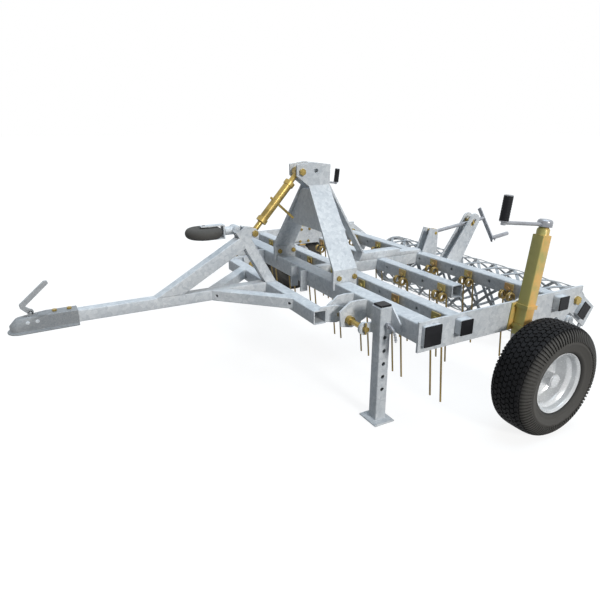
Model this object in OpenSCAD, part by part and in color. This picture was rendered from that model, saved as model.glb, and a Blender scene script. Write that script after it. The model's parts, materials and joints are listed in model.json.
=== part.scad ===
// Tow-behind arena harrow with spring tines, a mesh roller, screw jack wheels
// and a combined three-point headstock and ball-coupling drawbar.
// Millimetres, +Z up, ground at z = 0, the drawbar points along -Y.

/* [Main frame] */
// Height of the top of the cross beams above the ground
beam_top_z = 474; // [440:1:520]
// Height and depth of the front beam
front_beam_s = 80; // [70:1:90]
// Height and depth of the other beams
beam_s = 60; // [50:1:64]
// Wall of the cross beams
beam_wall = 5; // [3:0.5:8]
// Half of the width over the side plates
half_w = 900; // [880:1:1000]
// Thickness of a side plate
side_t = 10; // [6:1:14]
// Height of a side plate
side_h = 120; // [110:1:130]
// Length of a side plate
side_len = 930; // [925:1:950]
// Distance from the front beam's face to the second beam's face
second_y = 160; // [158:1:170]
// Distance from the front beam's face to the third beam's face
third_y = 443; // [420:1:460]
// Distance from the front beam's face to the fourth beam's face
fourth_y = 720; // [715:1:730]
// Distance from the middle to the open end of the third beam
third_half = 593; // [580:1:620]
// Length of a beam end beyond the side plate
stub = 15; // [10:1:20]

/* [Tines] */
// Distance between tines along a beam
tine_pitch = 250; // [240:1:255]
// Diameter of the spring wire
wire_d = 8; // [7:0.5:8.5]
// Mean radius of a coil
coil_r = 18; // [16:0.5:20]
// Distance between neighbouring turns of a coil
coil_pitch = 9.5; // [9.2:0.1:10]
// Distance between the two legs of a tine
leg_gap = 62; // [60:1:66]
// Height of the tine points above the ground
tip_z = 85; // [60:1:120]
// Distance that the points lie behind the coils
leg_rake = 30; // [10:1:50]

/* [Drawbar] */
// Side of the square drawbar tube
bar_s = 50; // [46:1:54]
// Height of the top of the drawbar tube
bar_top_z = 436; // [430:1:442]
// Distance from the front beam's face to the coupling's nose
nose_y = 1318; // [1290:1:1360]
// Length of the coupling
coupling_len = 262; // [250:1:280]
// Side of the crossbar
crossbar_s = 60; // [56:1:62]
// Half of the crossbar's length
crossbar_half = 489; // [482:1:494]
// Ball diameter of the coupling
ball_d = 50; // [45:1:51]

/* [Headstock] */
// Height of the headstock cheeks
head_top_z = 992; // [970:1:1020]
// Half of the width over the cheeks
cheek_half = 40; // [38:1:44]
// Thickness of the headstock plates
plate_t = 10; // [8:1:12]
// Half of the width over the feet of the headstock
foot_half = 314; // [305:1:320]
// Radius of the spare hole for an upper link pin
link_hole_r = 10; // [8:0.5:12]

/* [Wheels and jacks] */
// Radius of a tyre
tyre_r = 228; // [220:1:235]
// Width of a tyre
tyre_w = 172; // [160:1:176]
// Radius of the rim flange
rim_r = 123; // [115:1:128]
// Distance from the middle of the machine to the middle of a wheel
wheel_x = 1068; // [1065:1:1090]
// Distance from the front beam's face to the wheel axle
wheel_y = 492; // [485:1:498]
// Side of the jack's outer tube
post_s = 50; // [48:1:54]
// Lean of the jack towards the rear in degrees
post_lean = 6.6; // [4:0.2:8]
// Length of the jack's outer tube above the side plate's middle
post_up = 330; // [300:1:360]
// Reach of the jack crank
crank_reach = 232; // [200:1:240]

/* [Rear roller] */
// Length of the grip on the spindle's crank
handle_len = 130; // [100:1:150]
// Radius of the mesh roller
roller_r = 172; // [160:1:176]
// Half of the roller's length
roller_half = 685; // [650:1:690]
// Number of bars that wind each way around the roller
roller_bars = 8; // [6:1:10]
// Distance from the arm's pivot to the roller's axis
roller_reach = 329; // [327:1:345]
// Fall of the roller's arm behind its pivot in degrees
arm_fall = 36; // [34:0.5:38]
// Half width of the arm plate at the pivot
arm_half = 52; // [45:1:54]

/* [Support leg] */
// Distance from the middle of the machine to the leg
leg_x = 704; // [690:1:720]
// Side of the leg tube
leg_s = 50; // [46:1:51]
// Distance between the holes of the leg
leg_hole_pitch = 56.4; // [50:0.1:60]

/* [Hidden] */
$fn = 48;

seat = 0.3;
fit = 0.05;
beam_z = beam_top_z - beam_s;
front_z = beam_top_z - front_beam_s;
side_z = beam_top_z + 16 - side_h;
side_y = -15;
side_in = half_w - side_t;
cap_t = 3;
tie_half = 30;
front_tie_half = 20;

bolt_z = beam_top_z - 28;
tine_z = beam_top_z - 59;
bolt_r = 6;
hole_r = 6.5;
wire_r = wire_d / 2;
bridge_h = 43;
coil_turns = 2;
curl_rings = 8;
wire_sides = 6;
second_tines = [for (i = [0:6]) (i - 3) * tine_pitch + 58];
third_tines = [-535, -257, 257, 535];
fourth_tines = [for (i = [0:6]) (i - 3) * tine_pitch - 71];
second_free = [for (i = [0:5]) (i - 2.5) * tine_pitch + 58];
third_free = [-396, -118, 118, 396];
fourth_free = [for (i = [0:5]) (i - 2.5) * tine_pitch - 71];

pin_y = -88;
pin_z = beam_top_z - 74;
pin_r = 11;
fork_gap = 85;
bracket_x = crossbar_half - 34;
bracket_out = bracket_x + plate_t + fork_gap;
pin_in = bracket_x - 4;
pin_out = 690;
sleeve_s = leg_s + 10;
sleeve_z = beam_top_z - 91;
sleeve_h = 112;
leg_top = beam_top_z + 23;
leg_pin_z = beam_top_z - 47;
leg_pin_back = 12;
leg_y = -sleeve_s / 2;
leg_foot_t = 8;
ring_x = leg_x - sleeve_s / 2 - 12;

cheek_in = cheek_half - plate_t;
head_z = head_top_z - 112;
leg_bend_z = beam_top_z + 60;
link_top = [-23, head_top_z - 44];
link_low = [-264, 679];
link_vec = link_low - link_top;
link_len = norm(link_vec);
link_angle = atan2(link_vec[1], link_vec[0]);
link_bolt_r = 10;
spare_hole = [54, head_top_z - 41];

crossbar_y = -212;
crossbar_z = 373;
bar_z = bar_top_z - bar_s;
bar_rear = crossbar_y;
socket_y = -nose_y + coupling_len;
mast_half = 25;
strut_half = 28;
jockey_x = -130;
jockey_z = 672;
jockey_y = -459;
rear_lug_z = crossbar_z + crossbar_s;
jockey_r = 88;
jockey_w = 46;
fold_y = -300;

mount_t = 5;
post_x = half_w + mount_t + seat + post_s / 2;
post_y = wheel_y + (beam_top_z - 44 - tyre_r) * tan(post_lean) - 12;
post_z = beam_top_z - 44;
post_in = post_s / 2 - 3;
slider_s = 2 * post_in - 1;
post_down = 75;
crank_h = post_up + 44;
grip_r = 16.5;
axle_r = 15;
slider_low = (tyre_r - 40 - post_z) / cos(post_lean);

pivot_y = 882;
pivot_z = beam_top_z - 46;
pivot_r = 12;
arm_x = half_w - 30;
tube_u = 97;
tube_w = -8;
tube_su = 60;
tube_sw = 70;
roller_w = -13;
hanger_x = roller_half + 15;
hanger_t = 12;
shaft_r = 15;
lever_t = 8;
lever_half = 30;
screw_r = 10;
trunnion = [850, beam_top_z + 100];
nut = [1140, beam_top_z + 135];
screw_vec = nut - trunnion;
screw_angle = atan2(screw_vec[1], screw_vec[0]);
nut_dist = norm(screw_vec);
screw_len = nut_dist + 117;
trunnion_half = lever_half - lever_t - 0.5;
trunnion_r = 8;
crank_turn = 31;
crank_arm = 143;
crank_back = 66;
handle_r = 12;

nose = -nose_y;
tail = trunnion[0] + (screw_len + handle_len) * cos(screw_angle)
    + ((crank_arm - handle_r) * cos(crank_turn) + handle_r) * sin(screw_angle);
mid_y = (nose + tail) / 2;

module frame_at() { translate([0, -mid_y, 0]) children(); }

module on_side(s) {
    if (s > 0) children();
    else mirror([1, 0, 0]) children();
}

module both() {
    children();
    mirror([1, 0, 0]) children();
}

module slab_yz(points, x0, x1) {
    translate([x0, 0, 0]) rotate([90, 0, 90]) linear_extrude(height = x1 - x0) polygon(points);
}

module slab_xz(points, y0, y1) {
    translate([0, y1, 0]) rotate([90, 0, 0]) linear_extrude(height = y1 - y0) polygon(points);
}

module slab_xy(points, z0, z1) {
    translate([0, 0, z0]) linear_extrude(height = z1 - z0) polygon(points);
}

module box(x0, x1, y0, y1, z0, z1) { translate([x0, y0, z0]) cube([x1 - x0, y1 - y0, z1 - z0]); }

module rod_x(x0, x1, y, z, r) { translate([x0, y, z]) rotate([0, 90, 0]) cylinder(h = x1 - x0, r = r); }

module rod_y(y0, y1, x, z, r) { translate([x, y0, z]) rotate([-90, 0, 0]) cylinder(h = y1 - y0, r = r); }

module rod_z(z0, z1, x, y, r) { translate([x, y, z0]) cylinder(h = z1 - z0, r = r); }

module hex_x(x0, x1, y, z, r) {
    translate([x0, y, z]) rotate([0, 90, 0]) cylinder(h = x1 - x0, r = r, $fn = 6);
}

module hex_y(y0, y1, x, z, r) {
    translate([x, y0, z]) rotate([-90, 0, 0]) cylinder(h = y1 - y0, r = r, $fn = 6);
}

module tube_x(x0, x1, y, z, sy, sz, wall) {
    difference() {
        box(x0, x1, y, y + sy, z, z + sz);
        box(x0 - 1, x1 + 1, y + wall, y + sy - wall, z + wall, z + sz - wall);
    }
}

module beam_holes(xs, y, s) {
    for (x = xs) rod_y(y - 1, y + s + 1, x, bolt_z, hole_r);
}

module front_beam() {
    color("gainsboro") frame_at()
        tube_x(-half_w - stub, half_w + stub, 0, front_z, front_beam_s, front_beam_s, beam_wall);
}

module drilled_beam(half, y, xs) {
    difference() {
        tube_x(-half, half, y, beam_z, beam_s, beam_s, beam_wall);
        beam_holes(xs, y, beam_s);
    }
}

module second_beam() {
    color("gainsboro") frame_at()
        drilled_beam(half_w + 2 * stub, second_y, concat(second_tines, second_free));
}

module third_beam() {
    color("gainsboro") frame_at() difference() {
        union() {
            tube_x(-third_half, -tie_half, third_y, beam_z, beam_s, beam_s, beam_wall);
            tube_x(tie_half, third_half, third_y, beam_z, beam_s, beam_s, beam_wall);
        }
        beam_holes(concat(third_tines, third_free), third_y, beam_s);
    }
}

module fourth_beam() {
    color("gainsboro") frame_at()
        drilled_beam(half_w + 2 * stub, fourth_y, concat(fourth_tines, fourth_free));
}

module side_plate(s) {
    rear = side_y + side_len;
    top = side_z + side_h;
    color("silver") frame_at() on_side(s) difference() {
        slab_yz([[side_y, side_z], [rear - 75, side_z], [rear, side_z + 65], [rear, top],
            [side_y, top]], side_in, half_w);
        box(side_in - 1, half_w + 1, -seat, front_beam_s + seat, front_z - seat, beam_top_z + seat);
        for (y = [second_y, fourth_y])
            box(side_in - 1, half_w + 1, y - seat, y + beam_s + seat, beam_z - seat, beam_top_z + seat);
        rod_x(side_in - 1, half_w + 1, pivot_y, pivot_z, pivot_r + fit);
        at_mount_bolts() rod_x(side_in - 1, half_w + 1, 0, 0, hole_r);
    }
}

module side_plate_left() side_plate(1);

module side_plate_right() side_plate(-1);

module centre_tie() {
    tie_z = beam_top_z - beam_s;
    color("gainsboro") frame_at() {
        box(-front_tie_half, front_tie_half, front_beam_s, second_y, tie_z, beam_top_z);
        box(-tie_half, tie_half, second_y + beam_s, fourth_y, tie_z, beam_top_z);
    }
}

module spine() {
    top = beam_top_z + 39;
    step = beam_top_z + 20;
    step_y = third_y + 153;
    color("gainsboro") frame_at() difference() {
        slab_yz([[second_y + 165, beam_top_z], [second_y + 185, top], [step_y, top],
            [step_y, step], [trunnion[0] - 105, step], [trunnion[0] - 105, beam_top_z]],
            -tie_half, tie_half);
        box(-tie_half + 5, tie_half - 5, second_y + 200, step_y - 5, beam_top_z + 5, top - 5);
    }
}

module beam_cap(x, y, z, s) {
    box(x, x + cap_t, y, y + s, z, z + s);
    box(x - 12, x, y + beam_wall + seat, y + s - beam_wall - seat,
        z + beam_wall + seat, z + s - beam_wall - seat);
}

module beam_caps() {
    color("black") frame_at() both() {
        beam_cap(half_w + stub, 0, front_z, front_beam_s);
        for (y = [second_y, fourth_y]) beam_cap(half_w + 2 * stub, y, beam_z, beam_s);
    }
}

module bracket_plate(x0) {
    difference() {
        slab_yz([[0, front_z], [0, beam_top_z], [-45, beam_top_z + 2], [-80, beam_top_z],
            [-132, beam_top_z - 36], [-125, pin_z - 26], [-70, pin_z - 38]], x0, x0 + plate_t);
        rod_x(x0 - 1, x0 + plate_t + 1, pin_y, pin_z, pin_r + fit);
    }
}

module hitch_brackets() {
    color("gainsboro") frame_at() both() {
        bracket_plate(bracket_x);
        bracket_plate(bracket_out);
        box(45, 45 + plate_t, -38, 0, front_z - 26, beam_top_z);
    }
}

module hitch_pins() {
    collar = bracket_out + plate_t + seat;
    color("goldenrod") frame_at() both() {
        rod_x(pin_in, pin_out, pin_y, pin_z, pin_r);
        rod_x(pin_in - 10, pin_in, pin_y, pin_z, pin_r + 5);
        rod_x(collar, collar + 22, pin_y, pin_z, pin_r + 8);
        rod_z(pin_z - 22, pin_z + 26, pin_out - 9, pin_y, 4);
    }
}

function leg_slope() = atan2(foot_half - cheek_half, head_z + 6 - leg_bend_z);

module headstock_leg(s) {
    inner = foot_half - plate_t;
    slope = leg_slope();
    color("gainsboro") frame_at() on_side(s) difference() {
        intersection() {
            slab_xz([[cheek_half, head_z + 6], [foot_half, leg_bend_z], [foot_half, front_z],
                [inner, front_z], [inner, leg_bend_z - plate_t * tan(slope / 2)],
                [cheek_half, head_z + 6 - plate_t / sin(slope)]], -60, 200);
            slab_yz([[-11, beam_top_z - 32], [front_beam_s + 36, beam_top_z - 32],
                [front_beam_s + 36, leg_bend_z], [126, head_z], [126, head_z + 20],
                [13, head_z + 20], [13, head_z], [-11, leg_bend_z]], 0, foot_half + 1);
        }
        box(inner - 1, foot_half + 1, -seat, front_beam_s + seat, front_z - 1, beam_top_z);
        for (y = [18, 102]) rod_x(inner - 1, foot_half + 1, y, beam_top_z + 22, hole_r + 2);
    }
}

module headstock_leg_left() headstock_leg(1);

module headstock_leg_right() headstock_leg(-1);

module headstock_cheeks() {
    color("gainsboro") frame_at() {
        both() difference() {
            slab_yz([[-50, head_top_z - 10], [29, head_top_z], [133, head_top_z - 13],
                [129, head_z + 5], [16, head_z - 1], [-50, head_z + 50]], cheek_in, cheek_half);
            rod_x(cheek_in - 1, cheek_half + 1, link_top[0], link_top[1], link_bolt_r + fit);
            rod_x(cheek_in - 1, cheek_half + 1, spare_hole[0], spare_hole[1], link_hole_r);
        }
        rod_x(-cheek_in, cheek_in, 106, head_top_z - 38, 15);
    }
}

module headstock_plates() {
    web_z = 680;
    web_top = head_z - 14;
    inner = foot_half - plate_t;
    slope = leg_slope();
    face_z = head_z + 6 - plate_t / sin(slope);
    high = cheek_half + (face_z - web_top) * tan(slope) - seat;
    low = cheek_half + (face_z - web_z) * tan(slope) - seat;
    color("gainsboro") frame_at() {
        slab_xz([[-high, web_top], [high, web_top], [low, web_z], [-low, web_z]], 20, 28);
        both() difference() {
            box(inner - plate_t, inner, -11, front_beam_s + 36, beam_top_z - 32, leg_bend_z - 12);
            box(inner - plate_t - 1, inner + 1, -seat, front_beam_s + seat, front_z, beam_top_z);
            for (y = [18, 102])
                rod_x(inner - plate_t - 1, inner + 1, y, beam_top_z + 22, hole_r + 2);
        }
    }
}

module headstock_brace() {
    strap = 9;
    half = cheek_in - seat;
    low_y = second_y + 187;
    top = [122, head_z + 8];
    color("gainsboro") frame_at() slab_yz([[top[0], top[1]], [top[0] + strap, top[1] + 6],
        [low_y + 12, beam_top_z + 39], [low_y, beam_top_z + 39]], -half, half);
}

module at_mount_bolts() {
    for (dy = [-32, 32], dz = [-42, 42])
        translate([0, post_y + dy + dz * tan(post_lean), post_z + dz]) children();
}

module frame_bolts() {
    head = 8;
    inner = foot_half - plate_t;
    color("goldenrod") frame_at() {
        both() {
            for (y = [18, 102]) {
                rod_x(inner - plate_t - 14, foot_half + 4, y, beam_top_z + 22, hole_r + 1.5);
                hex_x(foot_half, foot_half + head, y, beam_top_z + 22, 13);
                hex_x(inner - plate_t - 10, inner - plate_t, y, beam_top_z + 22, 13);
            }
            rod_x(arm_x - 24, half_w + 4, pivot_y, pivot_z, pivot_r);
            hex_x(half_w, half_w + 12, pivot_y, pivot_z, 20);
            hex_x(arm_x - 24, arm_x - 10.3, pivot_y, pivot_z, 20);
            at_mount_bolts() {
                rod_x(side_in - 12, half_w + mount_t - 0.5, 0, 0, bolt_r);
                hex_x(side_in - 9, side_in, 0, 0, 10);
            }
        }
        rod_x(-cheek_half - 14, cheek_half + 4, link_top[0], link_top[1], link_bolt_r);
        hex_x(cheek_half, cheek_half + 12, link_top[0], link_top[1], 17);
        hex_x(-cheek_half - 12, -cheek_half, link_top[0], link_top[1], 17);
    }
}

module tine_clamp(x, y) {
    front = y - wire_d - 2 * seat;
    box(x - 24, x + 24, front - 5, front, bolt_z - 6, bolt_z + 24);
    rod_y(front - 6, y + beam_s + 12, x, bolt_z, bolt_r);
    hex_y(front - 12, front - 5, x, bolt_z, 9.5);
    hex_y(y + beam_s, y + beam_s + 9, x, bolt_z, 9.5);
}

module tine_clamps() {
    color("goldenrod") frame_at() {
        for (x = second_tines) tine_clamp(x, second_y);
        for (x = third_tines) tine_clamp(x, third_y);
        for (x = fourth_tines) tine_clamp(x, fourth_y);
    }
}

// A tine is one wire: point, leg, coil, bridge over the bolt, coil, leg, point
coil_y = -coil_r - wire_r - seat;
curl_steps = curl_rings * coil_turns;
function curl(i) = [leg_gap / 2 - coil_pitch * i / curl_rings,
    coil_y + coil_r * cos(-360 * i / curl_rings), tine_z - coil_r * sin(-360 * i / curl_rings)];
inner_x = leg_gap / 2 - coil_pitch * coil_turns;
half_wire = concat([[leg_gap / 2, coil_y + coil_r + leg_rake, tip_z]],
    [for (i = [0:curl_steps]) curl(i)], [[inner_x, coil_y + coil_r, tine_z + bridge_h]]);
last = len(half_wire) - 1;
wire = concat(half_wire, [[0, coil_y + coil_r, tine_z + bridge_h]],
    [for (i = [last:-1:0]) [-half_wire[i][0], half_wire[i][1], half_wire[i][2]]]);
ring_count = len(wire);

function unit(v) = v / norm(v);
function square_to(n, t) = unit(n - (n * t) * t);
function heading(i) = i == 0 ? unit(wire[1] - wire[0])
    : i == ring_count - 1 ? unit(wire[i] - wire[i - 1])
    : unit(unit(wire[i + 1] - wire[i]) + unit(wire[i] - wire[i - 1]));
wire_sides_dir = [for (i = 0, n = square_to([1, 0, 0], heading(0)); i < ring_count;
    i = i + 1, n = square_to(n, heading(min(i, ring_count - 1)))) n];

function ring_points(i) = let (t = heading(i), n = wire_sides_dir[i], b = cross(t, n))
    [for (k = [0:wire_sides - 1]) let (a = 360 * k / wire_sides)
        wire[i] + wire_r * (cos(a) * n + sin(a) * b)];
wire_points = [for (i = [0:ring_count - 1]) each ring_points(i)];
wire_faces = concat(
    [for (k = [1:wire_sides - 2]) [0, k, k + 1]],
    [for (i = [0:ring_count - 2], k = [0:wire_sides - 1])
        let (a = i * wire_sides, j = (k + 1) % wire_sides, c = a + wire_sides)
            each [[a + k, c + k, c + j], [a + k, c + j, a + j]]],
    [for (k = [1:wire_sides - 2]) let (e = (ring_count - 1) * wire_sides) [e, e + k + 1, e + k]]);
self_gap = min([for (i = [0:ring_count - 1], j = [i + 5:1:ring_count - 1])
    norm(wire[i] - wire[j])]) - wire_d;
echo(least_gap_between_turns = self_gap, turns = 2 * coil_turns * 18);

module tine(x, y) { translate([x, y, 0]) polyhedron(points = wire_points, faces = wire_faces); }

module tines_second() { color("goldenrod") frame_at() for (x = second_tines) tine(x, second_y); }

module tines_third() { color("goldenrod") frame_at() for (x = third_tines) tine(x, third_y); }

module tines_fourth() { color("goldenrod") frame_at() for (x = fourth_tines) tine(x, fourth_y); }

module leg_sleeve() {
    half = sleeve_s / 2;
    inner = leg_s / 2 + 0.7;
    color("gainsboro") frame_at() {
        difference() {
            union() {
                box(leg_x - half, leg_x + half, -sleeve_s, 0, sleeve_z, sleeve_z + sleeve_h);
                box(ring_x, leg_x - half, pin_y + 20, leg_y + 10, pin_z - 20, pin_z + 20);
                rod_x(ring_x, ring_x + 12, pin_y, pin_z, 26);
            }
            box(leg_x - inner, leg_x + inner, leg_y - inner, leg_y + inner,
                sleeve_z - 1, sleeve_z + sleeve_h + 1);
            rod_x(ring_x - 1, ring_x + 13, pin_y, pin_z, pin_r + 0.5);
            rod_x(leg_x - half - 1, leg_x + half + 1, leg_y, leg_pin_z, 8 + fit);
        }
        slab_xz([[leg_x + half, sleeve_z + 12], [leg_x + half + 55, sleeve_z + 30],
            [leg_x + half + 55, sleeve_z + 60], [leg_x + half, sleeve_z + sleeve_h]], -8, 0);
    }
}

module support_leg() {
    half = leg_s / 2;
    wall = 4;
    foot = 55;
    color("gainsboro") frame_at() {
        difference() {
            box(leg_x - half, leg_x + half, leg_y - half, leg_y + half, leg_foot_t, leg_top);
            box(leg_x - half + wall, leg_x + half - wall, leg_y - half + wall, leg_y + half - wall,
                leg_foot_t + 4, leg_top + 1);
            for (i = [0:5]) rod_x(leg_x - half - 1, leg_x + half + 1, leg_y,
                leg_pin_z - i * leg_hole_pitch, 8 + fit);
        }
        box(leg_x - foot, leg_x + foot, leg_y - 50, leg_y + 48, 0, leg_foot_t);
    }
}

module leg_cap() {
    half = leg_s / 2;
    color("black") frame_at() {
        box(leg_x - half, leg_x + half, leg_y - half, leg_y + half, leg_top, leg_top + 8);
        box(leg_x - half + 4 + seat, leg_x + half - 4 - seat, leg_y - half + 4 + seat,
            leg_y + half - 4 - seat, leg_top - 12, leg_top);
    }
}

// Drawn back from the leg's hole, so that the leg is free to slide; pushed in, it holds the leg
module leg_pin() {
    out = leg_x + sleeve_s / 2 + leg_pin_back;
    color("goldenrod") frame_at() {
        rod_x(leg_x + leg_s / 2 + 0.4, out + 16, leg_y, leg_pin_z, 8);
        rod_x(out + seat, out + 8, leg_y, leg_pin_z, 12);
        rod_x(out + 12, out + 54, leg_y, leg_pin_z - 2, 5);
        rod_z(leg_pin_z - 40, leg_pin_z, out + 50, leg_y, 5);
    }
}

module drawbar_tube() {
    half = bar_s / 2;
    color("gainsboro") frame_at() difference() {
        box(-half, half, socket_y - 110, bar_rear, bar_z, bar_top_z);
        box(-half + 4, half - 4, socket_y - 111, bar_rear - 6, bar_z + 4, bar_top_z - 4);
        for (y = [socket_y - 30, socket_y - 85]) rod_z(bar_z - 1, bar_top_z + 1, 0, y, hole_r);
    }
}

module tube_yz(p, q, h, half, wall) {
    d = q - p;
    translate([0, p[0], p[1]]) rotate([atan2(d[1], d[0]), 0, 0]) difference() {
        box(-half, half, 0, norm(d), -h / 2, h / 2);
        box(-half + wall, half - wall, -1, norm(d) + 1, -h / 2 + wall, h / 2 - wall);
    }
}

mast_low = [crossbar_y + 25, crossbar_z + crossbar_s];
mast_top = [-335, 700];
mast_s = 48;
mast_dir = (mast_top - mast_low) / norm(mast_top - mast_low);
mast_angle = atan2(mast_dir[1], mast_dir[0]);
strut_low = [-677, bar_top_z];
strut_top = [-331, 635];
strut_s = 60;
strut_dir = (strut_top - strut_low) / norm(strut_top - strut_low);
wall_t = 4;

module drawbar_strut() {
    color("gainsboro") frame_at() difference() {
        tube_yz(strut_low - 70 * strut_dir, strut_top + 60 * strut_dir, strut_s, strut_half, wall_t);
        box(-50, 50, -900, 0, bar_top_z - 200, bar_top_z);
        translate([0, mast_low[0], mast_low[1]]) rotate([mast_angle, 0, 0])
            box(-50, 50, -300, 500, -300, mast_s / 2);
    }
}

module drawbar_mast() {
    rear = mast_top + [mast_dir[1], -mast_dir[0]] * mast_s / 2;
    color("gainsboro") frame_at() {
        difference() {
            tube_yz(mast_low - 40 * mast_dir, mast_top, mast_s, mast_half, wall_t);
            box(-50, 50, -400, 0, crossbar_z - 50, crossbar_z + crossbar_s);
            box(-50, 50, -400, crossbar_y, crossbar_z - 50, bar_top_z);
        }
        both() difference() {
            slab_yz([rear, rear - 62 * mast_dir, link_low + [14, -22], link_low + [22, 4],
                link_low + [6, 22]], mast_half - 7, mast_half);
            rod_x(0, mast_half + 1, link_low[0], link_low[1], link_bolt_r + fit);
        }
    }
}

module crossbar() {
    color("gainsboro") frame_at() tube_x(-crossbar_half, crossbar_half, crossbar_y, crossbar_z,
        crossbar_s, crossbar_s, beam_wall);
}

yoke_front = -488;
yoke_s = 50;
yoke_end = 309;

module yoke(inset, z0, z1) {
    half = bar_s / 2;
    run = (yoke_end - half) / (crossbar_y - yoke_front);
    side = norm([1, run]);
    front = yoke_front + inset * side / run;
    rear = yoke_front + (yoke_s - inset) * side / run;
    slab_xy([[half, front], [half, rear], [half + (crossbar_y - rear) * run, crossbar_y],
        [half + (crossbar_y - front) * run, crossbar_y]], z0, z1);
}

module drawbar_plates() {
    rear = crossbar_y + crossbar_s;
    lug_x = crossbar_half - plate_t;
    bar_end = jockey_x - 34;
    color("gainsboro") frame_at() {
        both() {
            difference() {
                yoke(0, bar_z, bar_top_z);
                yoke(wall_t, bar_z + wall_t, bar_top_z - wall_t);
                for (p = [[42, yoke_front + 16], [yoke_end - 15, crossbar_y - 15]])
                    rod_y(p[1] - 40, p[1] + 20, p[0], bar_z + 25, 6);
            }
            difference() {
                slab_yz([[rear - 34, rear_lug_z], [rear - 22, rear_lug_z + 12],
                    [pin_y - 15, pin_z + 43], [pin_y + 22, pin_z + 30], [pin_y + 30, pin_z],
                    [pin_y + 22, pin_z - 28], [pin_y - 12, pin_z - 34], [rear, crossbar_z + 3],
                    [rear, rear_lug_z]], lug_x, crossbar_half);
                rod_x(lug_x - 1, crossbar_half + 1, pin_y, pin_z, pin_r + fit);
            }
        }
        slab_yz([[fold_y - 45, jockey_z - 4], [fold_y - 25, jockey_z + 28],
            [fold_y + 16, jockey_z + 18], [fold_y + 22, jockey_z - 14], [fold_y - 4, jockey_z - 34]],
            -mast_half - 8, -mast_half);
        rod_x(bar_end, -mast_half - 7, fold_y, jockey_z, 12);
        rod_x(bar_end - 6, bar_end, fold_y, jockey_z, 18);
    }
}

module drawbar_bolts() {
    color("goldenrod") frame_at() {
        for (y = [socket_y - 30, socket_y - 85]) {
            rod_z(bar_z - 16, bar_top_z + 12, 0, y, bolt_r);
            translate([0, y, bar_top_z + 6 + seat]) cylinder(h = 8, r = 10, $fn = 6);
            translate([0, y, bar_z - 16]) cylinder(h = 10, r = 10, $fn = 6);
        }
        rod_x(-mast_half - 12, mast_half + 4, link_low[0], link_low[1], link_bolt_r);
        hex_x(mast_half, mast_half + 10, link_low[0], link_low[1], 16);
        hex_x(-mast_half - 11, -mast_half, link_low[0], link_low[1], 16);
    }
}

lever_pivot = [nose + 92, bar_top_z + 16];

module coupling_body() {
    ball_y = nose + 46;
    ball_z = bar_z + 8;
    rim_z = bar_z - 10;
    top_z = bar_top_z + 6;
    color("silver") frame_at() difference() {
        union() {
            hull() {
                translate([0, ball_y, rim_z]) cylinder(h = 8, r = 46, $fn = 32);
                box(-38, 38, socket_y - 6, socket_y, rim_z, rim_z + 8);
            }
            hull() {
                translate([0, ball_y, rim_z]) cylinder(h = 30, r = 36, $fn = 32);
                translate([0, ball_y + 6, bar_z + 22]) sphere(r = 30, $fn = 24);
                box(-32, 32, socket_y - 110, socket_y - 108, rim_z, top_z);
            }
            box(-32, 32, socket_y - 109, socket_y, rim_z, top_z);
            rod_x(-11, 11, lever_pivot[0], lever_pivot[1], 11);
            box(-11, 11, lever_pivot[0] - 11, lever_pivot[0] + 11, top_z - 30, lever_pivot[1]);
        }
        rod_x(-12, 12, lever_pivot[0], lever_pivot[1], 5 + fit);
        translate([0, ball_y, ball_z]) sphere(r = ball_d / 2 + 0.5);
        translate([0, ball_y, rim_z - 1]) cylinder(h = ball_z - rim_z + 1, r = ball_d / 2 + 0.5);
        box(-bar_s / 2 - seat, bar_s / 2 + seat, socket_y - 110 - seat, socket_y + 1,
            rim_z - 1, bar_top_z + seat);
        box(-24, 24, ball_y + 38, socket_y - 118, rim_z - 1, bar_top_z - 14);
        for (y = [socket_y - 30, socket_y - 85])
            rod_z(bar_top_z - 1, top_z + 1, 0, y, bolt_r + seat);
        box(-6, 6, lever_pivot[0] - 24, lever_pivot[0] + 24, bar_top_z - 10, top_z + 40);
    }
}

module coupling_lever() {
    color("dimgray") frame_at() {
        rod_x(-13, 13, lever_pivot[0], lever_pivot[1], 5);
        slab_yz([lever_pivot + [-9, -7], lever_pivot + [8, -7], lever_pivot + [9, 6],
            lever_pivot + [-16, 26], lever_pivot + [78, 108], lever_pivot + [74, 120],
            lever_pivot + [62, 120], lever_pivot + [-36, 36], lever_pivot + [-34, 20]], -5, 5);
    }
}

module jockey_stem() {
    color("gainsboro") frame_at() difference() {
        union() {
            rod_x(jockey_x - 33.7, jockey_x + 40, fold_y, jockey_z, 24);
            rod_y(jockey_y + jockey_r + 12, fold_y, jockey_x, jockey_z, 20);
        }
        rod_x(jockey_x - 35, jockey_x + 41, fold_y, jockey_z, 12 + fit);
    }
}

module jockey_fork() {
    crown = jockey_y + jockey_r + 3;
    reach = jockey_w / 2 + 5;
    color("gainsboro") frame_at() {
        difference() {
            union() {
                for (s = [-1, 1]) translate([0, 0, jockey_z + s * (reach + 3)]) slab_xy(
                    [[jockey_x - 20, crown + 8], [jockey_x + 20, crown + 8],
                    [jockey_x + 16, jockey_y - 16], [jockey_x - 16, jockey_y - 16]], -3, 3);
                box(jockey_x - 20, jockey_x + 20, crown, crown + 8, jockey_z - reach - 1,
                    jockey_z + reach + 1);
            }
            rod_z(jockey_z - 60, jockey_z + 60, jockey_x, jockey_y, 8 + fit);
        }
    }
}

module jockey_wheel() {
    color("dimgray") frame_at() translate([jockey_x, jockey_y, jockey_z]) {
        rotate_extrude() polygon(concat([[18, -jockey_w / 2], [jockey_r * 0.5, -jockey_w / 2]],
            [for (a = [-90:15:90]) [jockey_r - 21 + 21 * cos(a), jockey_w / 2 * sin(a)]], [[jockey_r * 0.5, jockey_w / 2], [18, jockey_w / 2]]));
        cylinder(h = jockey_w + 24, r = 8, center = true);
        cylinder(h = jockey_w, r = 18.5, center = true);
    }
}

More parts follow.
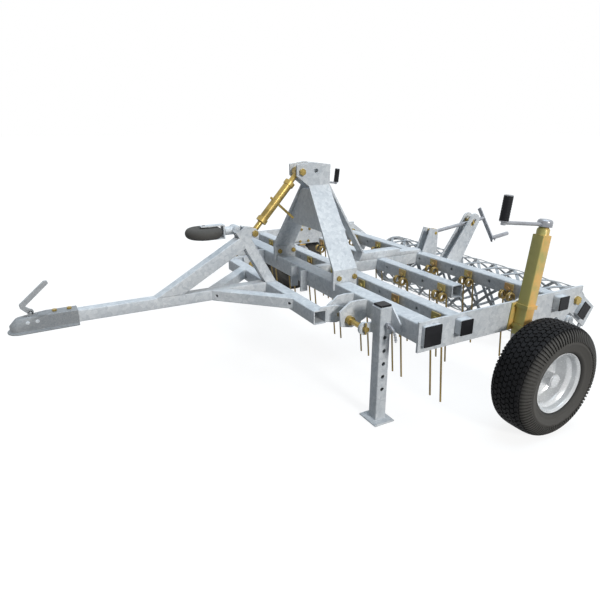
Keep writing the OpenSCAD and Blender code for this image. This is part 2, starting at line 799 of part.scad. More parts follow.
module on_link() {
    translate([0, link_top[0], link_top[1]]) rotate([link_angle, 0, 0]) children();
}

thread_r = 13;
sleeve_r = 21;
sleeve_from = 62;
sleeve_to = link_len - 62;

module link_eye(half, r) {
    difference() {
        union() {
            rod_x(-half, half, 0, 0, r);
            rod_y(15, sleeve_from + 62, 0, 0, thread_r);
        }
        rod_x(-half - 1, half + 1, 0, 0, link_bolt_r + fit);
    }
}

module link_eye_upper() { color("goldenrod") frame_at() on_link() link_eye(cheek_in - 12, 24); }

module link_eye_lower() {
    color("goldenrod") frame_at() on_link() translate([0, link_len, 0]) rotate([180, 0, 0])
        link_eye(mast_half - 9, 22);
}

module link_sleeve() {
    bar_at = (sleeve_from + sleeve_to) / 2;
    color("goldenrod") frame_at() on_link() {
        difference() {
            union() {
                rod_y(sleeve_from, sleeve_to, 0, 0, sleeve_r);
                rod_y(sleeve_from, sleeve_from + 22, 0, 0, sleeve_r + 5);
                rod_y(sleeve_to - 22, sleeve_to, 0, 0, sleeve_r + 5);
            }
            rod_y(sleeve_from - 1, sleeve_from + 90, 0, 0, thread_r + fit);
            rod_y(sleeve_to - 110, sleeve_to + 1, 0, 0, thread_r + 2.5);
        }
        translate([0, bar_at, 0]) rod_z(sleeve_r - 2, sleeve_r + 103, 0, 0, 6);
        translate([0, bar_at, 0]) rod_z(-sleeve_r - 12, -sleeve_r + 2, 0, 0, 6);
    }
}

module on_post() { translate([post_x, post_y, post_z]) rotate([-post_lean, 0, 0]) children(); }

module jack_mounts() {
    half = post_s / 2;
    band = 5;
    color("goldenrod") frame_at() both() difference() {
        union() {
            slab_yz([for (p = [[-50, -56], [50, -56], [50, 56], [-50, 56]])
                [post_y + p[0] + p[1] * tan(post_lean), post_z + p[1]]], half_w, half_w + mount_t);
            for (z = [-46, 36]) on_post()
                box(-half - mount_t / 2, half + band, -half - band, half + band, z, z + 16);
        }
        on_post() box(-half - seat / 2, half + seat, -half - seat, half + seat, -200, 200);
        at_mount_bolts() rod_x(half_w - 1, half_w + mount_t + 1, 0, 0, bolt_r + fit);
    }
}

module jack_tube(s) {
    half = post_s / 2;
    color("goldenrod") frame_at() on_side(s) on_post() {
        difference() {
            box(-half, half, -half, half, -post_down, post_up);
            box(-post_in, post_in, -post_in, post_in, -post_down - 1, post_up - 8);
        }
        difference() {
            translate([0, 0, post_up]) union() {
                cylinder(h = 20, r = half - 1);
                translate([0, 0, 20]) cylinder(h = 12, r1 = half - 1, r2 = half - 9);
            }
            translate([0, 0, post_up + 10]) cylinder(h = 30, r = 10 + fit);
        }
    }
}

module jack_tube_left() jack_tube(1);

module jack_tube_right() jack_tube(-1);

module jack_crank(s) {
    color("silver") frame_at() on_side(s) on_post() rotate([0, 0, s > 0 ? 0 : 180]) {
        translate([0, 0, post_up + 10.5]) cylinder(h = crank_h - post_up - 12, r = 10);
        translate([0, 0, post_up + 32.5]) cylinder(h = 14, r = 16);
        rod_y(-crank_reach, 4, 0, crank_h - 4, 7);
        translate([0, -crank_reach, crank_h - 13]) cylinder(h = 14, r = 9);
        translate([0, -crank_reach, crank_h]) cylinder(h = 94, r = grip_r);
    }
}

module jack_crank_left() jack_crank(1);

module jack_crank_right() jack_crank(-1);

module jack_slider(s) {
    half = slider_s / 2;
    plate_x = post_x + half;
    color("silver") frame_at() on_side(s) {
        on_post() difference() {
            box(-half, half, -half, half, slider_low, post_up - 110);
            box(-half + 3, half - 3, -half + 3, half - 3, slider_low - 1, post_up - 109);
        }
        box(plate_x - 1, plate_x + 8, wheel_y - 32, wheel_y + 32, tyre_r - 36, tyre_r + 28);
        rod_x(plate_x + 7, plate_x + 16, wheel_y, tyre_r, 26);
        rod_x(plate_x + 15, wheel_x + 46, wheel_y, tyre_r, axle_r);
    }
}

module jack_slider_left() jack_slider(1);

module jack_slider_right() jack_slider(-1);

module at_wheel(s) {
    frame_at() translate([s * wheel_x, wheel_y, tyre_r]) rotate([0, s * 90, 0]) children();
}

module rim(s) {
    wall = 4;
    hub_in = -tyre_w / 2 + 22;
    edge = tyre_w / 2 - 20;
    color("gainsboro") at_wheel(s) difference() {
        union() {
            rotate_extrude($fn = 72) polygon([[rim_r, edge], [rim_r, edge - wall],
                [rim_r - 7, edge - wall - 4], [rim_r - 7, edge - 26], [rim_r - 22, edge - 38],
                [rim_r - 22, 12 - edge], [rim_r - 7, -edge + wall + 4], [rim_r, wall - edge],
                [rim_r, -edge], [rim_r - wall, -edge], [rim_r - 7 - wall, -edge + 6],
                [rim_r - 22 - wall, 8 - edge], [rim_r - 22 - wall, -2], [40, -2], [40, 4],
                [rim_r - 22 - wall, 4], [rim_r - 22 - wall, edge - 38], [rim_r - 7 - wall, edge - 26],
                [rim_r - 7 - wall, edge - 4], [rim_r - wall, edge]]);
            translate([0, 0, hub_in]) cylinder(h = 48 - hub_in, r = 40.5);
            translate([0, 0, 47]) cylinder(h = 3, r = 34);
        }
        translate([0, 0, hub_in - 1]) cylinder(h = 48 - hub_in, r = axle_r + fit);
    }
}

module rim_left() rim(1);

module rim_right() rim(-1);

module tyre(s) {
    half = tyre_w / 2;
    bead = rim_r - 7 + seat;
    in_edge = tyre_w / 2 - 20 - 9;
    wall = 11;
    side = [for (a = [-70:20:70]) [(bead + tyre_r) / 2 + 3 + 44 * sin(a) * 0.98, half - 26 + 26 * cos(a)]];
    in_side = [for (a = [60:-20:-60]) [(bead + tyre_r) / 2 + 34 * sin(a), half - wall - 26 + 26 * cos(a)]];
    outer = concat([[bead, in_edge]], side, [[tyre_r - 5, half - 34], [tyre_r, half - 52]]);
    inner = concat([[tyre_r - wall - 3, 24]], in_side, [[bead + 6, in_edge - 20], [bead, in_edge - 18]]);
    color("dimgray") at_wheel(s) rotate_extrude($fn = 72) polygon(concat(outer,
        [for (i = [len(outer) - 1:-1:0]) [outer[i][0], -outer[i][1]]],
        [for (i = [len(inner) - 1:-1:0]) [inner[i][0], -inner[i][1]]], inner));
}

module tyre_left() tyre(1);

module tyre_right() tyre(-1);

module on_arm() { translate([0, pivot_y, pivot_z]) rotate([-arm_fall, 0, 0]) children(); }

module cross_hole(x0, x1) {
    box(x0 - 1, x1 + 1, tube_u - tube_su / 2 - seat, tube_u + tube_su / 2 + seat,
        tube_w - tube_sw / 2 - seat, tube_w + tube_sw / 2 + seat);
}

module rear_arms() {
    end_u = 186;
    color("gainsboro") frame_at() on_arm() both() {
        difference() {
            union() {
                rod_x(arm_x, arm_x + plate_t, 0, 0, arm_half);
                slab_yz([[0, -arm_half], [end_u, -arm_half - 4], [end_u - 6, arm_half - 3],
                    [0, arm_half]], arm_x, arm_x + plate_t);
                rod_x(arm_x - 10, side_in - seat, 0, 0, 24);
            }
            rod_x(arm_x - 11, side_in, 0, 0, pivot_r + fit);
            cross_hole(arm_x, arm_x + plate_t);
        }
        difference() {
            union() {
                slab_yz([[tube_u + tube_su / 2, tube_w - 36], [roller_reach, roller_w - 30],
                    [roller_reach, roller_w + 30], [tube_u + tube_su / 2, tube_w + 36]],
                    hanger_x, hanger_x + hanger_t);
                rod_x(hanger_x, hanger_x + hanger_t, roller_reach, roller_w, 36);
                rod_x(hanger_x - 4, hanger_x + hanger_t + 14, roller_reach, roller_w, 28);
            }
            rod_x(hanger_x - 5, hanger_x + hanger_t + 15, roller_reach, roller_w, shaft_r + fit);
        }
    }
}

module rear_tube() {
    color("gainsboro") frame_at() on_arm() tube_x(-half_w + cap_t, half_w - cap_t,
        tube_u - tube_su / 2, tube_w - tube_sw / 2, tube_su, tube_sw, beam_wall);
}

module rear_caps() {
    y0 = tube_u - tube_su / 2;
    z0 = tube_w - tube_sw / 2;
    in = beam_wall + seat;
    color("black") frame_at() on_arm() both() {
        box(half_w - cap_t, half_w, y0, y0 + tube_su, z0, z0 + tube_sw);
        box(half_w - cap_t - 12, half_w - cap_t, y0 + in, y0 + tube_su - in, z0 + in, z0 + tube_sw - in);
    }
}

function to_arm(p) = let (d = p - [pivot_y, pivot_z])
    [d[0] * cos(arm_fall) - d[1] * sin(arm_fall), d[0] * sin(arm_fall) + d[1] * cos(arm_fall)];
nut_arm = to_arm(nut);

module rear_lever() {
    top = nut_arm + [-2, 14];
    low = tube_w + tube_sw / 2;
    slot_r = trunnion_r + 3.5;
    u0 = tube_u - tube_su / 2;
    color("gainsboro") frame_at() on_arm() both() difference() {
        union() {
            slab_yz([[u0, low], [u0 - 6, top[1]], [top[0] + 41, top[1]], [176, 71],
                [150, 24], [tube_u + tube_su / 2, 0], [tube_u + tube_su / 2, low]],
                lever_half - lever_t, lever_half);
            rod_x(lever_half - lever_t, lever_half, top[0], top[1], 41);
        }
        for (w = [-14, 14]) rod_x(0, lever_half + 1, nut_arm[0], nut_arm[1] + w, slot_r);
        box(0, lever_half + 1, nut_arm[0] - slot_r, nut_arm[0] + slot_r,
            nut_arm[1] - 14, nut_arm[1] + 14);
    }
}

cage_turn = 360 * roller_half * 2 / (2 * PI * roller_r);
cage_steps = 36;
cage_t = 5;
cage_w = 16;
cage_gap = 1.8;
cage_half = roller_half - seat;

// A cage bar winds once and a quarter around; its ends lie square to the axis
function cage_point(k, hand, r, side) =
    let (a = hand * cage_turn * k / cage_steps + side * cage_w / (sqrt(2) * r) * 180 / PI)
        [-cage_half + 2 * cage_half * k / cage_steps, r * sin(a), r * cos(a)];

module cage_bar(start, hand) {
    r1 = hand > 0 ? roller_r : roller_r - cage_t - cage_gap;
    r0 = r1 - cage_t;
    points = [for (k = [0:cage_steps]) each [cage_point(k, hand, r0, -1), cage_point(k, hand, r1, -1),
        cage_point(k, hand, r1, 1), cage_point(k, hand, r0, 1)]];
    sides = [for (k = [0:cage_steps - 1], i = [0:3]) let (a = 4 * k, j = (i + 1) % 4)
        each [[a + i, a + j, a + 4 + j], [a + i, a + 4 + j, a + 4 + i]]];
    end = 4 * cage_steps;
    rotate([start, 0, 0]) polyhedron(points = points, faces = concat([[3, 2, 1], [3, 1, 0]], sides,
        [[end, end + 1, end + 2], [end, end + 2, end + 3]]));
}

module roller_cage() {
    color("lightsteelblue") frame_at() on_arm() translate([0, roller_reach, roller_w])
        for (n = [0:roller_bars - 1], hand = [-1, 1]) cage_bar(360 * n / roller_bars, hand);
}

module roller_ends() {
    ring_in = roller_r - 26;
    color("lightsteelblue") frame_at() on_arm() translate([0, roller_reach, roller_w]) both() {
        difference() {
            union() {
                difference() {
                    rod_x(roller_half, roller_half + 8, 0, 0, roller_r - 1);
                    rod_x(roller_half - 1, roller_half + 9, 0, 0, ring_in);
                }
                for (a = [0:90:270]) rotate([a, 0, 0])
                    box(roller_half, roller_half + 8, -18, 18, 20, ring_in + 4);
                rod_x(roller_half, roller_half + 8, 0, 0, 34);
            }
        }
        rod_x(roller_half + 7, hanger_x + hanger_t + 20, 0, 0, shaft_r);
    }
}

module spindle_bracket() {
    rear = fourth_y + beam_s;
    color("gainsboro") frame_at() both() difference() {
        slab_yz([[rear - 20, beam_top_z], [trunnion[0] - 43, beam_top_z + 132],
            [trunnion[0] + 16, beam_top_z + 118], [trunnion[0] + 18, beam_top_z - 35],
            [rear, beam_top_z - 35], [rear, beam_top_z]], lever_half - lever_t, lever_half);
        rod_x(0, lever_half + 1, trunnion[0], trunnion[1], trunnion_r + fit);
    }
}

module on_screw() {
    translate([0, trunnion[0], trunnion[1]]) rotate([screw_angle, 0, 0]) children();
}

module trunnion_block(bore) {
    half = trunnion_half;
    difference() {
        union() {
            box(-half, half, -16, 16, -19, 19);
            rod_x(-lever_half - 3, lever_half + 3, 0, 0, trunnion_r);
        }
        rod_y(-20, 20, 0, 0, bore);
    }
}

module spindle_trunnion() { color("goldenrod") frame_at() on_screw() trunnion_block(screw_r + fit); }

module spindle_nut() {
    color("goldenrod") frame_at() on_screw() translate([0, nut_dist, 0])
        trunnion_block(screw_r + 2 * fit);
}

module spindle_screw() {
    color("silver") frame_at() on_screw() {
        rod_y(-24, screw_len, 0, 0, screw_r);
        rod_y(-24, -16.3, 0, 0, 16);
        rod_y(16.3, 24, 0, 0, 16);
        translate([0, screw_len, 0]) rotate([0, -crank_turn, 0]) {
            box(-12, 12, -8, 0, -crank_arm, crank_back);
            rod_y(-1, handle_len, 0, -crank_arm + handle_r, handle_r);
        }
    }
}

front_beam();
second_beam();
third_beam();
fourth_beam();
side_plate_left();
side_plate_right();
centre_tie();
spine();
beam_caps();
hitch_brackets();
hitch_pins();
headstock_leg_left();
headstock_leg_right();
headstock_cheeks();
headstock_plates();
headstock_brace();
frame_bolts();
tine_clamps();
tines_second();
tines_third();
tines_fourth();
leg_sleeve();
jack_mounts();
jack_tube_left();
jack_tube_right();
spindle_bracket();
support_leg();
leg_cap();
leg_pin();
drawbar_tube();
drawbar_strut();
drawbar_mast();
crossbar();
drawbar_plates();
drawbar_bolts();
coupling_body();
coupling_lever();
jockey_stem();
jockey_fork();
jockey_wheel();
link_eye_upper();
link_sleeve();
link_eye_lower();
jack_crank_left();
jack_crank_right();
jack_slider_left();
jack_slider_right();
rim_left();
rim_right();
tyre_left();
tyre_right();
rear_arms();
rear_tube();
rear_caps();
rear_lever();
roller_cage();
roller_ends();
spindle_trunnion();
spindle_nut();
spindle_screw();
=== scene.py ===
import json
import math

import bmesh
import bpy
from mathutils import Matrix, Vector

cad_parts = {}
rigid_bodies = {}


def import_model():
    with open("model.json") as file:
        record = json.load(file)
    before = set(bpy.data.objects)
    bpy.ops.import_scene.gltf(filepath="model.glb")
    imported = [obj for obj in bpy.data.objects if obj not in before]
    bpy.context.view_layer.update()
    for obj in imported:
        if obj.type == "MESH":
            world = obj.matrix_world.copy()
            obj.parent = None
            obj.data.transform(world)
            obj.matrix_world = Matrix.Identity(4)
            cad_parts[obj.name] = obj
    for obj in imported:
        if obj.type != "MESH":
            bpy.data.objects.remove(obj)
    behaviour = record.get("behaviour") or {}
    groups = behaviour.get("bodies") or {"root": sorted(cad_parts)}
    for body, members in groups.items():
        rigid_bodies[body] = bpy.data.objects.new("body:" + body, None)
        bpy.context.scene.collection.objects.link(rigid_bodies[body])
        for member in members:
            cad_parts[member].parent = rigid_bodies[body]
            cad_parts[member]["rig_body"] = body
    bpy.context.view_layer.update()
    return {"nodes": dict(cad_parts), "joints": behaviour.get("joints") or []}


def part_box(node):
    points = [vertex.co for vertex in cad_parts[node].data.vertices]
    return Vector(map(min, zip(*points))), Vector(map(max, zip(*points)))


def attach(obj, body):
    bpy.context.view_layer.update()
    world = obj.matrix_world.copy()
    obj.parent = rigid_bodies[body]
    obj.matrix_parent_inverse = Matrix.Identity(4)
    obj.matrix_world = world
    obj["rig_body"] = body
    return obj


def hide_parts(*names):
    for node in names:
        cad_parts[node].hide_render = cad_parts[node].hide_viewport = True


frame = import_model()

bl_info = {
    "name": "Arena harrow",
    "version": (1, 0, 0),
    "blender": (4, 5, 0),
    "location": "View3D > Sidebar > Harrow",
    "description": "Dresses a tow-behind arena harrow: welded frame, tines, wheels, roller and drawbar",
    "category": "Object",
}

AXLE = Vector(next(j["pos_m"] for j in frame["joints"] if j["name"] == "wheel_left_spin"))
WHEEL_X, WHEEL_Z = AXLE.x, AXLE.z
SHIFT_Y = AXLE.y - 0.492


def place(x, y, z):
    """A point given in millimetres from the front beam's face, in the row frame."""
    return Vector((x / 1000, y / 1000 + SHIFT_Y, z / 1000))


def joint(name):
    """Where a joint's axis passes, and its direction."""
    found = next(j for j in frame["joints"] if j["name"] == name)
    return Vector(found.get("pos_m", (0, 0, 0))), Vector(found["axis"]).normalized()


class HarrowSizes(bpy.types.PropertyGroup):
    tube_corner: bpy.props.FloatProperty(
        name="Tube corner", description="Outer corner radius of the square tubes",
        default=0.0055, min=0.001, max=0.012, unit="LENGTH", subtype="DISTANCE")
    edge_round: bpy.props.FloatProperty(
        name="Edge rounding", description="Rounding of plate and casting edges under the zinc",
        default=0.0009, min=0.0002, max=0.003, unit="LENGTH", subtype="DISTANCE")
    tread_pitches: bpy.props.IntProperty(
        name="Tread pitches", description="How often the tread pattern repeats round a tyre",
        default=60, min=24, max=90)
    rib_pitches: bpy.props.IntProperty(
        name="Shoulder ribs", description="Number of narrow ribs round a tyre's shoulder",
        default=90, min=40, max=120)
    tread_depth: bpy.props.FloatProperty(
        name="Tread depth", description="Height of the turf tyre's blocks",
        default=0.0058, min=0.002, max=0.012, unit="LENGTH", subtype="DISTANCE")
    wire_radius: bpy.props.FloatProperty(
        name="Tine wire radius", description="Radius of the spring wire",
        default=0.004, min=0.002, max=0.006, unit="LENGTH", subtype="DISTANCE")


def colour(name, words, value):
    """A colour property with its default."""
    return bpy.props.FloatVectorProperty(
        name=name, description=words, subtype="COLOR", size=4, min=0, max=1, default=(*value, 1))


class HarrowColours(bpy.types.PropertyGroup):
    zinc_pale: colour("Zinc, pale flakes", "Pale crystals of the galvanising", (0.70, 0.72, 0.74))
    zinc_dark: colour("Zinc, dark flakes", "Dark crystals of the galvanising", (0.53, 0.56, 0.59))
    yellow_zinc: colour("Yellow zinc", "Passivated zinc on posts and fasteners", (0.80, 0.49, 0.155))
    # Used for random olive patches on the yellow and bronze zinc, and also as painted shade: the darker
    # olive finish on the jack posts' and mounts' front faces
    olive_zinc: colour("Olive zinc", "Greenish patches of the passivated zinc", (0.48, 0.44, 0.15))
    bronze_zinc: colour("Bronze zinc", "Darker passivated zinc on the tine clamps", (0.40, 0.24, 0.10))
    gold_zinc: colour("Gold zinc", "Passivated zinc on pins, bolts and turnbuckle", (0.50, 0.36, 0.11))
    spring: colour("Spring wire", "Plated spring wire of the tines", (0.34, 0.24, 0.08))
    bright: colour("Bright steel", "Cranks, spindle and axles", (0.38, 0.39, 0.42))
    plastic: colour("Black plastic", "End caps and grips", (0.012, 0.012, 0.014))
    rim: colour("Rim silver", "Paint of the wheel rims", (0.74, 0.75, 0.76))
    rubber: colour("Tyre rubber", "Tread of the turf tyres and jockey wheel", (0.010, 0.010, 0.011))
    sidewall: colour("Tyre sidewall", "Dull side of the turf tyres", (0.085, 0.081, 0.075))
    floor: colour("Floor", "Plain pale floor", (0.20, 0.20, 0.20))


def sizes():
    return bpy.context.scene.harrow_sizes


def tint(name):
    return tuple(getattr(bpy.context.scene.harrow_colours, name))


# Shader groups


def new_group(name, inputs, outputs):
    """An empty shader group with float inputs and the named outputs."""
    group = bpy.data.node_groups.new(name, "ShaderNodeTree")
    for label, value in inputs:
        socket = group.interface.new_socket(label, in_out="INPUT", socket_type="NodeSocketFloat")
        socket.default_value = value
    for label, kind in outputs:
        group.interface.new_socket(label, in_out="OUTPUT", socket_type=kind)
    return group, group.nodes.new("NodeGroupInput"), group.nodes.new("NodeGroupOutput")


def zinc_flakes():
    """Crystals of hot-dip zinc: cells of random brightness, with broad runs and streaks."""
    if "Zinc flakes" in bpy.data.node_groups:
        return bpy.data.node_groups["Zinc flakes"]
    group, start, end = new_group("Zinc flakes", [("Scale", 70.0)], [
        ("Flake", "NodeSocketFloat"), ("Run", "NodeSocketFloat"), ("Skin", "NodeSocketFloat")])
    n, link = group.nodes, group.links.new
    where = n.new("ShaderNodeTexCoord")
    warp = n.new("ShaderNodeTexNoise")
    warp.inputs["Scale"].default_value = 35
    warp.inputs["Detail"].default_value = 2
    mix = n.new("ShaderNodeVectorMath")
    mix.operation = "MULTIPLY_ADD"
    mix.inputs[1].default_value = (0.02, 0.02, 0.02)
    cells = n.new("ShaderNodeTexVoronoi")
    cells.inputs["Randomness"].default_value = 1
    fine = n.new("ShaderNodeTexVoronoi")
    fine.inputs["Scale"].default_value = 260
    grey = n.new("ShaderNodeSeparateColor")
    grey_fine = n.new("ShaderNodeSeparateColor")
    blend = n.new("ShaderNodeMix")
    blend.inputs["Factor"].default_value = 0.3
    run = n.new("ShaderNodeTexNoise")
    run.inputs["Scale"].default_value = 7
    run.inputs["Detail"].default_value = 5
    run.inputs["Roughness"].default_value = 0.62
    skin = n.new("ShaderNodeTexNoise")
    skin.inputs["Scale"].default_value = 900
    skin.inputs["Detail"].default_value = 2
    link(where.outputs["Object"], warp.inputs["Vector"])
    link(warp.outputs["Color"], mix.inputs[0])
    link(where.outputs["Object"], mix.inputs[2])
    link(mix.outputs["Vector"], cells.inputs["Vector"])
    link(start.outputs["Scale"], cells.inputs["Scale"])
    link(mix.outputs["Vector"], fine.inputs["Vector"])
    link(cells.outputs["Color"], grey.inputs["Color"])
    link(fine.outputs["Color"], grey_fine.inputs["Color"])
    link(grey.outputs["Red"], blend.inputs["A"])
    link(grey_fine.outputs["Green"], blend.inputs["B"])
    link(where.outputs["Object"], run.inputs["Vector"])
    link(where.outputs["Object"], skin.inputs["Vector"])
    link(blend.outputs["Result"], end.inputs["Flake"])
    link(run.outputs["Fac"], end.inputs["Run"])
    link(skin.outputs["Fac"], end.inputs["Skin"])
    return group


def surface_wear():
    """Uneven plating and rubbed patches for plated, painted and rubber surfaces."""
    if "Surface wear" in bpy.data.node_groups:
        return bpy.data.node_groups["Surface wear"]
    group, start, end = new_group("Surface wear", [("Broad", 9.0), ("Fine", 160.0)], [
        ("Patch", "NodeSocketFloat"), ("Grain", "NodeSocketFloat")])
    n, link = group.nodes, group.links.new
    where = n.new("ShaderNodeTexCoord")
    broad = n.new("ShaderNodeTexNoise")
    broad.inputs["Detail"].default_value = 6
    broad.inputs["Roughness"].default_value = 0.6
    fine = n.new("ShaderNodeTexNoise")
    fine.inputs["Detail"].default_value = 3
    for node, socket in ((broad, "Broad"), (fine, "Fine")):
        link(where.outputs["Object"], node.inputs["Vector"])
        link(start.outputs[socket], node.inputs["Scale"])
    link(broad.outputs["Fac"], end.inputs["Patch"])
    link(fine.outputs["Fac"], end.inputs["Grain"])
    return group


# Materials


def new_material(name, group_builder, settings):
    """A material with a Principled shader and one of the shader groups beside it."""
    material = bpy.data.materials.new(name)
    material.use_nodes = True
    nodes = material.node_tree.nodes
    shader = nodes["Principled BSDF"]
    effect = nodes.new("ShaderNodeGroup")
    effect.node_tree = group_builder()
    for label, value in settings:
        effect.inputs[label].default_value = value
    return material, shader, effect


def ramp_colours(material, fac, low, high, socket, start=0.3, stop=0.7):
    """Runs a mask through a two-stop ramp into a socket."""
    ramp = material.node_tree.nodes.new("ShaderNodeValToRGB")
    ramp.color_ramp.elements[0].position = start
    ramp.color_ramp.elements[1].position = stop
    ramp.color_ramp.elements[0].color = low
    ramp.color_ramp.elements[1].color = high
    material.node_tree.links.new(fac, ramp.inputs["Fac"])
    if socket is not None:
        material.node_tree.links.new(ramp.outputs["Color"], socket)
    return ramp.outputs["Color"]


def map_value(material, fac, low, high, socket):
    """Maps a 0 to 1 mask to a range of a shader value."""
    node = material.node_tree.nodes.new("ShaderNodeMapRange")
    node.inputs["From Min"].default_value = 0.25
    node.inputs["From Max"].default_value = 0.75
    node.inputs["To Min"].default_value = low
    node.inputs["To Max"].default_value = high
    material.node_tree.links.new(fac, node.inputs["Value"])
    material.node_tree.links.new(node.outputs["Result"], socket)


def add_bump(material, height, shader, strength, distance):
    """Small relief from a mask."""
    node = material.node_tree.nodes.new("ShaderNodeBump")
    node.inputs["Strength"].default_value = strength
    node.inputs["Distance"].default_value = distance
    material.node_tree.links.new(height, node.inputs["Height"])
    material.node_tree.links.new(node.outputs["Normal"], shader.inputs["Normal"])


def galvanised_steel(name="Galvanised steel", scale=70.0, lift=1.0):
    pale = [min(1, c * lift) for c in tint("zinc_pale")[:3]] + [1]
    dark = [min(1, c * lift) for c in tint("zinc_dark")[:3]] + [1]
    material, shader, effect = new_material(name, zinc_flakes, [("Scale", scale)])
    nodes, links = material.node_tree.nodes, material.node_tree.links
    flakes = ramp_colours(material, effect.outputs["Flake"], dark, pale, None, 0.05, 0.85)
    runs = ramp_colours(
        material, effect.outputs["Run"], (0.84, 0.86, 0.88, 1), (1, 1, 1, 1), None, 0.34, 0.58)
    mix = nodes.new("ShaderNodeMix")
    mix.data_type = "RGBA"
    mix.blend_type = "MULTIPLY"
    mix.inputs["Factor"].default_value = 0.8
    colour_in = [s for s in mix.inputs if s.type == "RGBA"]
    links.new(flakes, colour_in[0])
    links.new(runs, colour_in[1])
    links.new([s for s in mix.outputs if s.type == "RGBA"][0], shader.inputs["Base Color"])
    map_value(material, effect.outputs["Flake"], 0.40, 0.58, shader.inputs["Roughness"])
    shader.inputs["Metallic"].default_value = 0.03
    shader.inputs["Specular IOR Level"].default_value = 0.25
    add_bump(material, effect.outputs["Run"], shader, 0.2, 0.0012)
    return material


def plated_steel(name, tone, metallic, rough, shade=0.72, patches=None):
    """Smooth plated or painted metal with uneven patches."""
    base = tint(tone)
    deep = tint(patches) if patches else [c * shade for c in base[:3]] + [1]
    material, shader, effect = new_material(
        name, surface_wear, [("Broad", 14.0), ("Fine", 240.0)])
    ramp_colours(material, effect.outputs["Patch"], deep, base, shader.inputs["Base Color"], 0.35, 0.6)
    map_value(material, effect.outputs["Grain"], rough - 0.07, rough + 0.09, shader.inputs["Roughness"])
    shader.inputs["Metallic"].default_value = metallic
    shader.inputs["Specular IOR Level"].default_value = 0.35
    add_bump(material, effect.outputs["Grain"], shader, 0.12, 0.0004)
    return material


def black_rubber(name, tone, rough, fine=420.0):
    """Rubber or moulded plastic: near black, with a fine skin and dusty patches."""
    base = tint(tone)
    dusty = [c * 2.1 for c in base[:3]] + [1]
    material, shader, effect = new_material(
        name, surface_wear, [("Broad", 11.0), ("Fine", fine)])
    ramp_colours(material, effect.outputs["Patch"], base, dusty, shader.inputs["Base Color"],
                 0.45, 0.75)
    map_value(material, effect.outputs["Grain"], rough - 0.08, rough + 0.1, shader.inputs["Roughness"])
    shader.inputs["Specular IOR Level"].default_value = 0.15
    add_bump(material, effect.outputs["Grain"], shader, 0.35, 0.0006)
    return material


def tyre_rubber():
    """Rubber whose dusty sidewall is paler than its tread, split by the distance from mid tyre."""
    material = black_rubber("Tyre rubber", "rubber", 0.72)
    nodes, links = material.node_tree.nodes, material.node_tree.links
    base = material.node_tree.nodes["Principled BSDF"].inputs["Base Color"]
    tread = base.links[0].from_socket
    where = nodes.new("ShaderNodeTexCoord")
    split = nodes.new("ShaderNodeSeparateXYZ")
    links.new(where.outputs["Object"], split.inputs["Vector"])
    value = split.outputs["X"]
    for operation, number in (("ABSOLUTE", 0.0), ("SUBTRACT", WHEEL_X), ("ABSOLUTE", 0.0)):
        step = nodes.new("ShaderNodeMath")
        step.operation = operation
        step.inputs[1].default_value = number
        links.new(value, step.inputs[0])
        value = step.outputs[0]
    mask = nodes.new("ShaderNodeMapRange")
    mask.inputs["From Min"].default_value = 0.058
    mask.inputs["From Max"].default_value = 0.076
    links.new(value, mask.inputs["Value"])
    mix = nodes.new("ShaderNodeMix")
    mix.data_type = "RGBA"
    links.new(mask.outputs["Result"], mix.inputs["Factor"])
    low, high = [s for s in mix.inputs if s.type == "RGBA"]
    links.new(tread, low)
    high.default_value = tint("sidewall")
    links.new([s for s in mix.outputs if s.type == "RGBA"][0], base)
    return material


MATERIALS = {
    "galvanised": lambda: galvanised_steel(),
    "cast": lambda: galvanised_steel("Cast zinc finish", 140.0, 0.60),
    "pressed": lambda: galvanised_steel("Pressed zinc finish", 240.0, 0.46),
    "mesh": lambda: galvanised_steel("Roller zinc", 110.0, 0.70),
    "zinc_yellow": lambda: plated_steel("Yellow zinc", "yellow_zinc", 0.12, 0.34, patches="olive_zinc"),
    # Painted shade: a darker olive copy of the yellow zinc, for the front faces of the jack mounts and
    # posts
    "zinc_olive": lambda: plated_steel("Olive zinc", "olive_zinc", 0.12, 0.4, 0.86),
    "zinc_gold": lambda: plated_steel("Gold zinc", "gold_zinc", 0.5, 0.28, 0.55),
    "zinc_bronze": lambda: plated_steel("Bronze zinc", "bronze_zinc", 0.3, 0.34, patches="olive_zinc"),
    "spring_yellow": lambda: plated_steel("Spring wire", "spring", 0.3, 0.36, 0.7),
    "bright_steel": lambda: plated_steel("Bright steel", "bright", 0.45, 0.3),
    "black_plastic": lambda: black_rubber("Black plastic", "plastic", 0.42, 700.0),
    "rim_silver": lambda: plated_steel("Rim silver", "rim", 0.35, 0.22, 0.94),
    "tyre_rubber": tyre_rubber,
}


def finish_of(key):
    """The named material, built once."""
    name = "harrow_" + key
    if name not in bpy.data.materials:
        MATERIALS[key]().name = name
    return bpy.data.materials[name]


# Making pieces


def add_piece(bm, name, body, finish, stands_for=(), smooth=35, edge=0.0):
    """Turns a bmesh in the row frame into a finished piece that rides on a body."""
    bmesh.ops.recalc_face_normals(bm, faces=bm.faces)
    mesh = bpy.data.meshes.new(name)
    bm.to_mesh(mesh)
    bm.free()
    return hang(mesh, name, body, finish, stands_for, smooth, edge)


def hang(mesh, name, body, finish, stands_for, smooth, edge):
    mesh.shade_smooth()
    mesh.set_sharp_from_angle(angle=math.radians(smooth))
    mesh.materials.clear()
    mesh.materials.append(finish_of(finish))
    obj = bpy.data.objects.new(name, mesh)
    bpy.context.scene.collection.objects.link(obj)
    if edge:
        bevel = obj.modifiers.new("Edge rounding", "BEVEL")
        bevel.width = edge
        bevel.segments = 2
        bevel.limit_method = "ANGLE"
        bevel.angle_limit = math.radians(42)
        bevel.use_clamp_overlap = False
        bevel.harden_normals = True
    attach(obj, body)
    if stands_for:
        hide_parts(*stands_for)
    return obj


def body_of_node(node):
    return frame["nodes"][node]["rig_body"]


